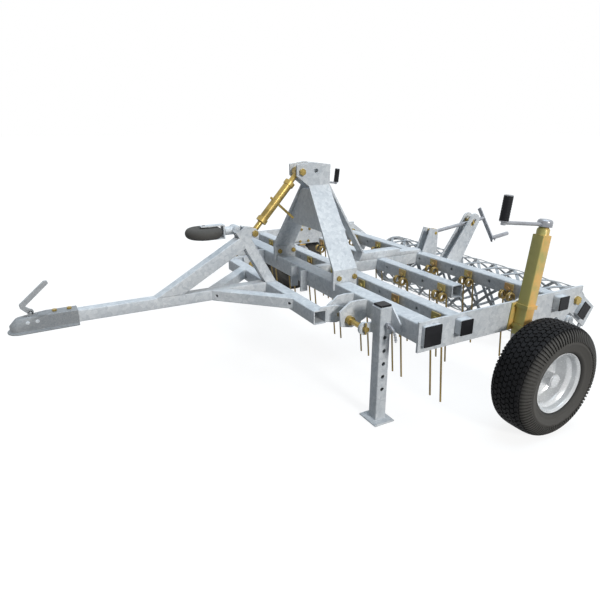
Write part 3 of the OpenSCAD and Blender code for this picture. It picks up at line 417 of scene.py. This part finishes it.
def dressed(node, name, finish, corner=0.0, edge=None, shortest=0.11, second=None):
    """A copy of a CAD node with rolled tube corners and rounded edges; a second finish, if given,
    paints its front faces darker as painted shade.
    """
    bm = bmesh.new()
    bm.from_mesh(frame["nodes"][node].data)
    bmesh.ops.remove_doubles(bm, verts=bm.verts, dist=2e-5)
    bmesh.ops.dissolve_limit(
        bm, angle_limit=math.radians(0.8), use_dissolve_boundaries=False,
        verts=bm.verts, edges=bm.edges, delimit={"NORMAL"})
    if corner:
        rolled = [e for e in bm.edges if len(e.link_faces) == 2 and e.is_convex
                  and e.calc_length() > shortest and e.calc_face_angle() > math.radians(70)]
        bmesh.ops.bevel(
            bm, geom=rolled, offset=corner, offset_type="OFFSET", segments=3, profile=0.5,
            affect="EDGES", material=-1, clamp_overlap=True)
    mesh = bpy.data.meshes.new(name)
    bm.to_mesh(mesh)
    bm.free()
    if edge is None:
        edge = sizes().edge_round
    obj = hang(mesh, name, body_of_node(node), finish, (node,), 35, edge)
    # Painted shade: faces turned to the front (-Y), away from the key lamp, take the darker second
    # finish
    if second:
        mesh.materials.append(finish_of(second))
        for face in mesh.polygons:
            face.material_index = 1 if face.normal.y < -0.5 else 0
    return obj


def rod_in(bm, start, end, radius, steps):
    """A round bar between two points of the row frame."""
    axis = end - start
    turn = Vector((0, 0, 1)).rotation_difference(axis).to_matrix().to_4x4()
    return bmesh.ops.create_cone(
        bm, cap_ends=True, cap_tris=False, segments=steps, radius1=radius,
        radius2=radius, depth=axis.length,
        matrix=Matrix.Translation((start + end) / 2) @ turn)["verts"]


def turned(bm, outline, centre, axis, steps=64):
    """Spins an outline of (along, radius) pairs in metres round an axis."""
    side = axis.orthogonal().normalized()
    verts = [bm.verts.new(centre + axis * a + side * r) for a, r in outline]
    edges = [bm.edges.new((verts[i], verts[i + 1])) for i in range(len(verts) - 1)]
    if (Vector(outline[0]) - Vector(outline[-1])).length > 1e-9 and outline[0][1] > 1e-6:
        edges.append(bm.edges.new((verts[-1], verts[0])))
    made = bmesh.ops.spin(
        bm, geom=verts + edges, cent=centre, axis=axis, angle=math.tau, steps=steps,
        use_merge=True, use_normal_flip=False)
    bmesh.ops.remove_doubles(bm, verts=bm.verts, dist=1e-6)
    return made


def wire_along(points, radius, name):
    """A round wire through points, as a mesh."""
    curve = bpy.data.curves.new(name, "CURVE")
    curve.dimensions = "3D"
    curve.bevel_depth = radius
    curve.bevel_resolution = 3
    curve.use_fill_caps = True
    for run in points:
        spline = curve.splines.new("POLY")
        spline.points.add(len(run) - 1)
        for point, co in zip(spline.points, run):
            point.co = (*co, 1)
    holder = bpy.data.objects.new(name + "_path", curve)
    bpy.context.scene.collection.objects.link(holder)
    mesh = bpy.data.meshes.new_from_object(
        holder.evaluated_get(bpy.context.evaluated_depsgraph_get()))
    bpy.data.objects.remove(holder)
    bpy.data.curves.remove(curve)
    mesh.name = name
    return mesh


# Operators, one for each group of pieces

class HARROW_OT_beams(bpy.types.Operator):
    """Beams, side plates, spine and the black caps"""
    bl_idname = "harrow.beams"
    bl_label = "Welded frame"

    def execute(self, context):
        corner = sizes().tube_corner
        for node in ("front_beam", "second_beam", "third_beam", "fourth_beam", "centre_tie"):
            dressed(node, node + "_tube", "galvanised", corner=corner)
        dressed("spine", "spine_section", "galvanised", corner=0.003)
        for side in ("left", "right"):
            dressed(f"side_plate_{side}", f"side_plate_{side}_cut", "galvanised")
        dressed("beam_caps", "beam_end_caps", "black_plastic", edge=0.0028)
        return {"FINISHED"}


class HARROW_OT_headstock(bpy.types.Operator):
    """Bent legs, cheeks, web, brace and bolts of the headstock"""
    bl_idname = "harrow.headstock"
    bl_label = "Headstock"

    def execute(self, context):
        for node in ("headstock_leg_left", "headstock_leg_right", "headstock_cheeks",
                     "headstock_plates", "headstock_brace"):
            dressed(node, node + "_plate", "galvanised", edge=0.0014)
        dressed("frame_bolts", "frame_bolt_set", "zinc_gold", edge=0.0007)
        return {"FINISHED"}


class HARROW_OT_hitch(bpy.types.Operator):
    """Hitch brackets and their pins"""
    bl_idname = "harrow.hitch"
    bl_label = "Hitch"

    def execute(self, context):
        dressed("hitch_brackets", "hitch_bracket_plates", "galvanised", edge=0.0012)
        dressed("hitch_pins", "hitch_pin_set", "zinc_gold", edge=0.0012)
        return {"FINISHED"}


class HARROW_OT_tines(bpy.types.Operator):
    """Double spring tines of round wire with their clamps"""
    bl_idname = "harrow.tines"
    bl_label = "Spring tines"

    def execute(self, context):
        gap, coil, pitch, turns, steps = 0.031, 0.018, 0.0095, 2, 20
        for row in ("second", "third", "fourth"):
            low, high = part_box(f"tines_{row}")
            clamps = row_of_tines(row)
            runs = []
            for x in clamps:
                tip_z, coil_z, y = low.z, high.z - 0.043 - 0.004, high.y - 0.004 - 0.030
                centre = Vector((x, y - coil, coil_z))
                half = [Vector((x + gap, y + 0.030, tip_z + 0.001))]
                for i in range(steps * turns + 1):
                    a = -math.tau * i / steps
                    half.append(centre + Vector((
                        gap - pitch * i / steps, coil * math.cos(a), -coil * math.sin(a))))
                half.append(Vector((x + gap - pitch * turns, y, coil_z + 0.036)))
                half.append(Vector((x + gap - pitch * turns - 0.003, y, coil_z + 0.043)))
                runs.append(half + [Vector((2 * x - p.x, p.y, p.z)) for p in reversed(half)])
            mesh = wire_along(runs, sizes().wire_radius, f"tine_wire_{row}")
            hang(mesh, f"tine_wire_{row}", "frame", "spring_yellow",
                 (f"tines_{row}",), 50, 0)
        dressed("tine_clamps", "tine_clamp_set", "zinc_bronze", edge=0.0007)
        return {"FINISHED"}


def row_of_tines(row):
    """The tines' places along their beam, from the solids of the CAD node."""
    bm = bmesh.new()
    bm.from_mesh(frame["nodes"][f"tines_{row}"].data)
    top = max(v.co.z for v in bm.verts)
    xs = sorted(v.co.x for v in bm.verts if v.co.z > top - 0.004)
    bm.free()
    groups = [[xs[0]]]
    for x in xs[1:]:
        if x - groups[-1][-1] > 0.09:
            groups.append([])
        groups[-1].append(x)
    return [(g[0] + g[-1]) / 2 for g in groups]


class HARROW_OT_support_leg(bpy.types.Operator):
    """Support leg with its sleeve, cap and locking pin"""
    bl_idname = "harrow.support_leg"
    bl_label = "Support leg"

    def execute(self, context):
        dressed("leg_sleeve", "leg_sleeve_tube", "galvanised",
                corner=0.004, shortest=0.09)
        dressed("support_leg", "support_leg_tube", "galvanised", corner=0.006)
        dressed("leg_cap", "leg_top_cap", "black_plastic", edge=0.002)
        self.pin()
        return {"FINISHED"}

    def pin(self):
        """Locking pin with its collar and a handle of two twisted rods."""
        low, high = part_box("leg_pin")
        y, z = (low.y + high.y) / 2, high.z - 0.012
        collar = high.x - 0.055
        bm = bmesh.new()
        rod_in(bm, Vector((low.x, y, z)), Vector((collar + 0.016, y, z)), 0.008, 28)
        rod_in(bm, Vector((collar + 0.0003, y, z)), Vector((collar + 0.008, y, z)), 0.012, 28)
        add_piece(bm, "leg_locking_pin", "leg_pin", "bright_steel", edge=0.0008)
        middle = [Vector((collar + dx / 1000, y, z + dz / 1000)) for dx, dz in (
            (12, 0), (22, -2), (31, -8), (38, -17), (43, -27), (47, -38), (50, -50))]
        runs = []
        for phase in (0.0, math.pi):
            run = []
            for i in range(61):
                at = i / 60 * (len(middle) - 1)
                k = min(int(at), len(middle) - 2)
                along = (middle[k + 1] - middle[k]).normalized()
                across = Vector((0, 1, 0))
                other = along.cross(across)
                turn = phase + i / 60 * math.tau * 3.5
                run.append(middle[k].lerp(middle[k + 1], at - k)
                           + (across * math.cos(turn) + other * math.sin(turn)) * 0.0026)
            runs.append(run)
        mesh = wire_along(runs, 0.0032, "leg_pin_handle")
        hang(mesh, "leg_pin_handle", "leg_pin", "bright_steel", ("leg_pin",), 50, 0)


CRANK_REACH = 0.232
GRIP_HEIGHT = 0.374
CRANK_CAP_OUTLINE = [
    (0.3612, 0.0), (0.3612, 0.0275), (0.3622, 0.0285), (0.3790, 0.0285), (0.3838, 0.0272),
    (0.3874, 0.0242), (0.3896, 0.0200), (0.3904, 0.0150), (0.3904, 0.0)]


class HARROW_OT_jacks(bpy.types.Operator):
    """Screw jacks: mounts, posts, cranks and sliding axle tubes"""
    bl_idname = "harrow.jacks"
    bl_label = "Wheel jacks"

    def execute(self, context):
        # Painted shade: the front faces of the mounts and posts take the darker olive zinc
        dressed("jack_mounts", "jack_mount_plates", "zinc_yellow", second="zinc_olive")
        for side in ("left", "right"):
            dressed(f"jack_tube_{side}", f"jack_post_{side}", "zinc_yellow",
                    corner=0.004, second="zinc_olive")
            dressed(f"jack_slider_{side}", f"jack_inner_{side}", "bright_steel",
                    corner=0.004)
            dressed(f"jack_crank_{side}", f"jack_crank_rod_{side}", "bright_steel")
            self.dome(side)
            crank_grip(side)
        return {"FINISHED"}

    def dome(self, side):
        """The round cap over the crank's hub."""
        where, axis = joint(f"crank_{side}_turn")
        bm = bmesh.new()
        turned(bm, CRANK_CAP_OUTLINE, where, axis, 48)
        add_piece(bm, f"jack_crank_cap_{side}", f"crank_{side}", "bright_steel",
                  smooth=50)


def crank_grip(side):
    """The black ribbed grip on a jack's crank."""
    where, axis = joint(f"crank_{side}_turn")
    forward = (Vector((0, -1, 0)) + axis * axis.y).normalized()
    across = forward if side == "left" else -forward
    base = where + axis * GRIP_HEIGHT + across * CRANK_REACH
    bm = bmesh.new()
    ribs = [(-0.0005, 0.0), (-0.0005, 0.0150), (0.004, 0.0172)]
    for i in range(9):
        a = 0.010 + i * 0.0092
        ribs += [(a, 0.0172), (a + 0.003, 0.0166), (a + 0.006, 0.0172)]
    ribs += [(0.0935, 0.0150), (0.0948, 0.011), (0.0948, 0.0)]
    turned(bm, ribs, base, axis, 32)
    add_piece(bm, f"crank_grip_{side}", f"crank_{side}", "black_plastic")


TYRE_RADIUS = 0.2279
TYRE_HALF_WIDTH = 0.0854
RIB_HEIGHT = 0.0053
TYRE_OUTLINE = [
    (0.0, 0.2218), (0.030, 0.2214), (0.050, 0.2190), (0.061, 0.2140), (0.0685, 0.2065),
    (0.0740, 0.1975), (0.0778, 0.1880), (0.0798, 0.1785), (0.0804, 0.1745), (0.0812, 0.1700),
    (0.0836, 0.1672), (0.0838, 0.1636), (0.0816, 0.1608), (0.0800, 0.1540), (0.0775, 0.1465),
    (0.0750, 0.1395), (0.0756, 0.1370), (0.0740, 0.1330), (0.0705, 0.1290), (0.0650, 0.1240),
    (0.0560, 0.1235)]


def tyre_point(t):
    """Place and outward direction on the tyre's outline, t metres from the crown."""
    side, t = (1 if t >= 0 else -1), abs(t)
    for (a0, r0), (a1, r1) in zip(TYRE_OUTLINE, TYRE_OUTLINE[1:]):
        length = math.hypot(a1 - a0, r1 - r0)
        if t <= length:
            f = t / length
            n = Vector((r0 - r1, a1 - a0)) / length
            return side * (a0 + f * (a1 - a0)), r0 + f * (r1 - r0), side * n.x, n.y
        t -= length
    return side * a1, r1, side * n.x, n.y


class HARROW_OT_wheels(bpy.types.Operator):
    """Turf tyres with block tread, and deep rims"""
    bl_idname = "harrow.wheels"
    bl_label = "Wheels"

    def execute(self, context):
        for side, sign in (("left", 1), ("right", -1)):
            centre = Vector((sign * WHEEL_X, AXLE.y, WHEEL_Z))
            out = Vector((sign, 0, 0))
            self.carcass(side, centre, out)
            self.tread(side, centre, out)
            self.rim(side, centre, out)
        return {"FINISHED"}

    def carcass(self, side, centre, out):
        outline = TYRE_OUTLINE + [(0.040, 0.128)]
        outline += [(-a, r) for a, r in reversed(outline)][:-1]
        bm = bmesh.new()
        turned(bm, outline, centre, out, 112)
        add_piece(bm, f"tyre_carcass_{side}", f"wheel_{side}", "tyre_rubber",
                  (f"tyre_{side}",), smooth=50)

    def tread(self, side, centre, out):
        depth = sizes().tread_depth
        rows = [(-0.0085, 0.0085, 0.0, 0.5), (0.0115, 0.0265, 0.5, -0.5),
                (0.0295, 0.0440, 0.0, 0.5), (0.0470, 0.0595, 0.5, -0.5)]
        rows += [(-t1, -t0, phase, wave) for t0, t1, phase, wave in rows[1:]]
        bm = bmesh.new()
        step = math.tau / sizes().tread_pitches
        for t0, t1, phase, wave in rows:
            self.block(bm, centre, out, t0, t1, step * phase, step * 0.41, step * wave * 0.5, depth, 1)
        self.repeat(bm, centre, out, sizes().tread_pitches)
        add_piece(bm, f"tyre_tread_{side}", f"wheel_{side}", "tyre_rubber", smooth=30)
        bm = bmesh.new()
        step = math.tau / sizes().rib_pitches
        for s in (-1, 1):
            self.block(bm, centre, out, s * 0.0625, s * 0.1085, step * 0.25 * s, step * 0.27, 0,
                       RIB_HEIGHT, 4)
        self.repeat(bm, centre, out, sizes().rib_pitches)
        add_piece(bm, f"tyre_ribs_{side}", f"wheel_{side}", "tyre_rubber", smooth=30)

    def repeat(self, bm, centre, out, count):
        whole = bm.verts[:] + bm.edges[:] + bm.faces[:]
        bmesh.ops.spin(bm, geom=whole, cent=centre, axis=out, angle=math.tau * (count - 1) / count,
                       steps=count - 1, use_duplicate=True)

    def block(self, bm, centre, out, t0, t1, angle, half, wave, depth, cuts):
        """A tread block that follows the tyre's outline from t0 to t1, bent in its middle."""
        before = len(bm.verts)
        made = bmesh.ops.create_cube(bm, size=2.0)
        along = [e for e in {e for v in made["verts"] for e in v.link_edges}
                 if abs(e.verts[0].co.x - e.verts[1].co.x) > 1]
        bmesh.ops.subdivide_edges(bm, edges=along, cuts=cuts, use_grid_fill=True)
        bm.verts.ensure_lookup_table()
        up = Vector((0, 0, 1))
        for v in bm.verts[before:]:
            x, y, z = v.co
            a, r, na, nr = tyre_point(t0 + (t1 - t0) * (x + 1) / 2)
            lift = depth if z > 0 else -0.001
            narrow = 0.88 if z > 0 else 1.0
            turn = angle + y * half * narrow + wave * (0.5 - abs(x))
            a = max(-TYRE_HALF_WIDTH, min(a + na * lift, TYRE_HALF_WIDTH))
            r = min(r + nr * lift, TYRE_RADIUS)
            spoke = Matrix.Rotation(turn, 3, out) @ up
            v.co = centre + out * a + spoke * r

    def rim(self, side, centre, out):
        """Deep rim with a stepped barrel, its disc far inside and a long hub with a cap."""
        face = [(0.0500, 0.0), (0.0500, 0.0228), (0.0494, 0.0242), (0.0480, 0.0250), (0.0452, 0.0250),
                (0.0450, 0.0270), (0.0440, 0.0280), (-0.0225, 0.0280), (-0.0245, 0.0300),
                (-0.0250, 0.0330), (-0.0250, 0.0800), (-0.0235, 0.0900), (-0.0190, 0.0960),
                (-0.0140, 0.0970), (0.0220, 0.0970), (0.0262, 0.0985), (0.0330, 0.1050),
                (0.0385, 0.1110), (0.0420, 0.1122), (0.0560, 0.1128), (0.0590, 0.1142),
                (0.0622, 0.1178), (0.0645, 0.1190), (0.0660, 0.1205), (0.0660, 0.1222),
                (0.0652, 0.1230), (0.0625, 0.1226), (0.0560, 0.1160), (0.0400, 0.1158),
                (0.0280, 0.1012)]
        back = [(-0.0280, 0.1010), (-0.0560, 0.1160), (-0.0625, 0.1228), (-0.0660, 0.1225),
                (-0.0660, 0.1190), (-0.0600, 0.1125), (-0.0540, 0.0972), (-0.0310, 0.0970),
                (-0.0300, 0.0300), (-0.0640, 0.0280), (-0.0640, 0.0153), (0.0470, 0.0153),
                (0.0470, 0.0)]
        bm = bmesh.new()
        turned(bm, face + back, centre, out, 96)
        add_piece(bm, f"rim_shell_{side}", f"wheel_{side}", "rim_silver",
                  (f"rim_{side}",), smooth=28)


class HARROW_OT_drawbar(bpy.types.Operator):
    """Drawbar tubes, mast, yokes, coupling and hand lever"""
    bl_idname = "harrow.drawbar"
    bl_label = "Drawbar"

    def execute(self, context):
        corner = sizes().tube_corner
        for node in ("drawbar_tube", "drawbar_strut", "drawbar_mast", "crossbar"):
            dressed(node, node + "_section", "galvanised", corner=corner)
        dressed("drawbar_plates", "drawbar_yokes", "galvanised",
                corner=0.004, shortest=0.25)
        dressed("drawbar_bolts", "drawbar_bolt_set", "zinc_gold", edge=0.0007)
        dressed("coupling_body", "coupling_shell", "pressed", edge=0.003)
        dressed("coupling_lever", "coupling_hand_lever", "cast", edge=0.002)
        self.rivets()
        return {"FINISHED"}

    def rivets(self):
        bm = bmesh.new()
        for side in (-1, 1):
            for y, z in ((-1241, 417), (-1207, 420)):
                head = [(-0.0080, 0.0), (-0.0080, 0.0085), (0.0008, 0.0085), (0.0022, 0.0072),
                        (0.0030, 0.0045), (0.0033, 0.0)]
                turned(bm, head, place(side * 32, y, z), Vector((side, 0, 0)), 24)
        add_piece(bm, "coupling_rivets", "drawbar", "galvanised")


class HARROW_OT_jockey(bpy.types.Operator):
    """Jockey wheel stowed on the drawbar"""
    bl_idname = "harrow.jockey"
    bl_label = "Jockey wheel"

    def execute(self, context):
        dressed("jockey_stem", "jockey_stem_tube", "galvanised")
        dressed("jockey_fork", "jockey_fork_plates", "galvanised")
        dressed("jockey_wheel", "jockey_tyre", "tyre_rubber", edge=0.001)
        return {"FINISHED"}


class HARROW_OT_top_link(bpy.types.Operator):
    """Turnbuckle between the headstock and the drawbar's mast"""
    bl_idname = "harrow.top_link"
    bl_label = "Turnbuckle"

    def execute(self, context):
        for node in ("link_eye_upper", "link_sleeve", "link_eye_lower"):
            dressed(node, node + "_forged", "zinc_gold", edge=0.0012)
        return {"FINISHED"}


class HARROW_OT_rear_unit(bpy.types.Operator):
    """Swinging rear unit and its mesh roller"""
    bl_idname = "harrow.rear_unit"
    bl_label = "Roller and arms"

    def execute(self, context):
        dressed("rear_tube", "rear_cross_tube", "galvanised", corner=sizes().tube_corner)
        dressed("rear_arms", "rear_arm_plates", "galvanised", edge=0.0014)
        dressed("rear_lever", "rear_lever_plates", "galvanised", edge=0.0014)
        dressed("rear_caps", "rear_tube_caps", "black_plastic", edge=0.0028)
        dressed("roller_cage", "roller_mesh", "mesh", edge=0.0006)
        dressed("roller_ends", "roller_end_plates", "mesh", edge=0.001)
        return {"FINISHED"}


class HARROW_OT_spindle(bpy.types.Operator):
    """Spindle that sets the roller's height"""
    bl_idname = "harrow.spindle"
    bl_label = "Rear spindle"

    def execute(self, context):
        dressed("spindle_bracket", "spindle_bracket_plates", "galvanised", edge=0.0014)
        dressed("spindle_trunnion", "spindle_trunnion_block", "zinc_gold")
        dressed("spindle_nut", "spindle_nut_block", "zinc_gold")
        dressed("spindle_screw", "spindle_rod", "bright_steel")
        return {"FINISHED"}


class HARROW_OT_stage(bpy.types.Operator):
    """Floor, lights and camera"""
    bl_idname = "harrow.stage"
    bl_label = "Stage"

    def execute(self, context):
        scene = context.scene
        scene.view_settings.view_transform = "Standard"
        self.floor()
        self.world(scene)
        self.lamp("key", (0.90, 0.06, 0.43), 2.0, 12, (1.0, 0.985, 0.955))
        self.lamp("sky", (0.0, 0.15, 1.0), 2.1, 50, (0.74, 0.88, 1.0))
        self.camera(scene)
        return {"FINISHED"}

    def camera(self, scene):
        azimuth, elevation, roll = (math.radians(a) for a in (61.306, 18.590, 0.071))
        back = Vector((math.sin(azimuth) * math.cos(elevation),
                       -math.cos(azimuth) * math.cos(elevation), math.sin(elevation)))
        right = Vector((math.cos(azimuth), math.sin(azimuth), 0))
        up = back.cross(right)
        right, up = (right * math.cos(roll) + up * math.sin(roll),
                     up * math.cos(roll) - right * math.sin(roll))
        data = bpy.data.cameras.new("view")
        data.sensor_width = 36
        data.lens = 30.504
        data.shift_x, data.shift_y = -0.00587, -0.00538
        data.clip_end = 200
        view = bpy.data.objects.new("view", data)
        turn = Matrix((right, up, back)).transposed().to_4x4()
        view.matrix_world = Matrix.Translation(place(2177.69, -1184.58, 1152.82)) @ turn
        scene.collection.objects.link(view)
        scene.camera = view

    def lamp(self, name, towards, strength, spread, tone):
        data = bpy.data.lights.new(name, "SUN")
        data.energy = strength
        data.color = tone
        data.angle = math.radians(spread)
        lamp = bpy.data.objects.new(name, data)
        lamp.rotation_euler = Vector(towards).to_track_quat("Z", "Y").to_euler()
        bpy.context.scene.collection.objects.link(lamp)

    def seen(self, tree):
        """1 for camera, mirror and glass rays, which show the white background."""
        path = tree.nodes.new("ShaderNodeLightPath")
        total = path.outputs["Is Camera Ray"]
        for name in ("Is Glossy Ray", "Is Transmission Ray"):
            add = tree.nodes.new("ShaderNodeMath")
            add.operation = "MAXIMUM"
            tree.links.new(total, add.inputs[0])
            tree.links.new(path.outputs[name], add.inputs[1])
            total = add.outputs[0]
        return total

    def world(self, scene):
        world = bpy.data.worlds.new("studio")
        world.use_nodes = True
        tree = world.node_tree
        mix = tree.nodes.new("ShaderNodeMix")
        mix.data_type = "RGBA"
        light, white = [s for s in mix.inputs if s.type == "RGBA"]
        light.default_value = (0.17, 0.18, 0.19, 1)
        white.default_value = (1, 1, 1, 1)
        tree.links.new(self.seen(tree), mix.inputs["Factor"])
        background = tree.nodes["Background"]
        tree.links.new([s for s in mix.outputs if s.type == "RGBA"][0], background.inputs["Color"])
        scene.world = world

    def floor(self):
        bm = bmesh.new()
        bmesh.ops.create_grid(bm, x_segments=1, y_segments=1, size=60)
        mesh = bpy.data.meshes.new("floor")
        bm.to_mesh(mesh)
        bm.free()
        material = bpy.data.materials.new("Pale floor")
        material.use_nodes = True
        tree = material.node_tree
        tree.nodes.remove(tree.nodes["Principled BSDF"])
        matt = tree.nodes.new("ShaderNodeBsdfDiffuse")
        matt.inputs["Color"].default_value = tint("floor")
        glow = tree.nodes.new("ShaderNodeEmission")
        scale = tree.nodes.new("ShaderNodeMath")
        scale.operation = "MULTIPLY"
        scale.inputs[1].default_value = 0.86
        tree.links.new(self.seen(tree), scale.inputs[0])
        tree.links.new(scale.outputs[0], glow.inputs["Strength"])
        both = tree.nodes.new("ShaderNodeAddShader")
        tree.links.new(matt.outputs[0], both.inputs[0])
        tree.links.new(glow.outputs[0], both.inputs[1])
        tree.links.new(both.outputs[0], tree.nodes["Material Output"].inputs["Surface"])
        mesh.materials.append(material)
        floor = bpy.data.objects.new("floor", mesh)
        bpy.context.scene.collection.objects.link(floor)


OPERATORS = (
    HARROW_OT_beams, HARROW_OT_headstock, HARROW_OT_hitch, HARROW_OT_tines,
    HARROW_OT_support_leg, HARROW_OT_jacks, HARROW_OT_wheels, HARROW_OT_drawbar,
    HARROW_OT_jockey, HARROW_OT_top_link, HARROW_OT_rear_unit, HARROW_OT_spindle,
    HARROW_OT_stage)


class HARROW_PT_panel(bpy.types.Panel):
    """Lists the harrow's groups of pieces and their sizes"""
    bl_idname = "HARROW_PT_panel"
    bl_label = "Arena harrow"
    bl_space_type = "VIEW_3D"
    bl_region_type = "UI"
    bl_category = "Harrow"

    def draw(self, context):
        for group in (context.scene.harrow_sizes, context.scene.harrow_colours):
            column = self.layout.column(align=True)
            for name in group.__annotations__:
                column.prop(group, name)
        for operator in OPERATORS:
            self.layout.operator(operator.bl_idname)


CLASSES = (HarrowSizes, HarrowColours, *OPERATORS, HARROW_PT_panel)


def register():
    for cls in CLASSES:
        bpy.utils.register_class(cls)
    bpy.types.Scene.harrow_sizes = bpy.props.PointerProperty(type=HarrowSizes)
    bpy.types.Scene.harrow_colours = bpy.props.PointerProperty(type=HarrowColours)


def unregister():
    del bpy.types.Scene.harrow_colours
    del bpy.types.Scene.harrow_sizes
    for cls in reversed(CLASSES):
        bpy.utils.unregister_class(cls)


def main():
    register()
    for operator in OPERATORS:
        group, name = operator.bl_idname.split(".")
        getattr(getattr(bpy.ops, group), name)()


if __name__ == "__main__":
    main()
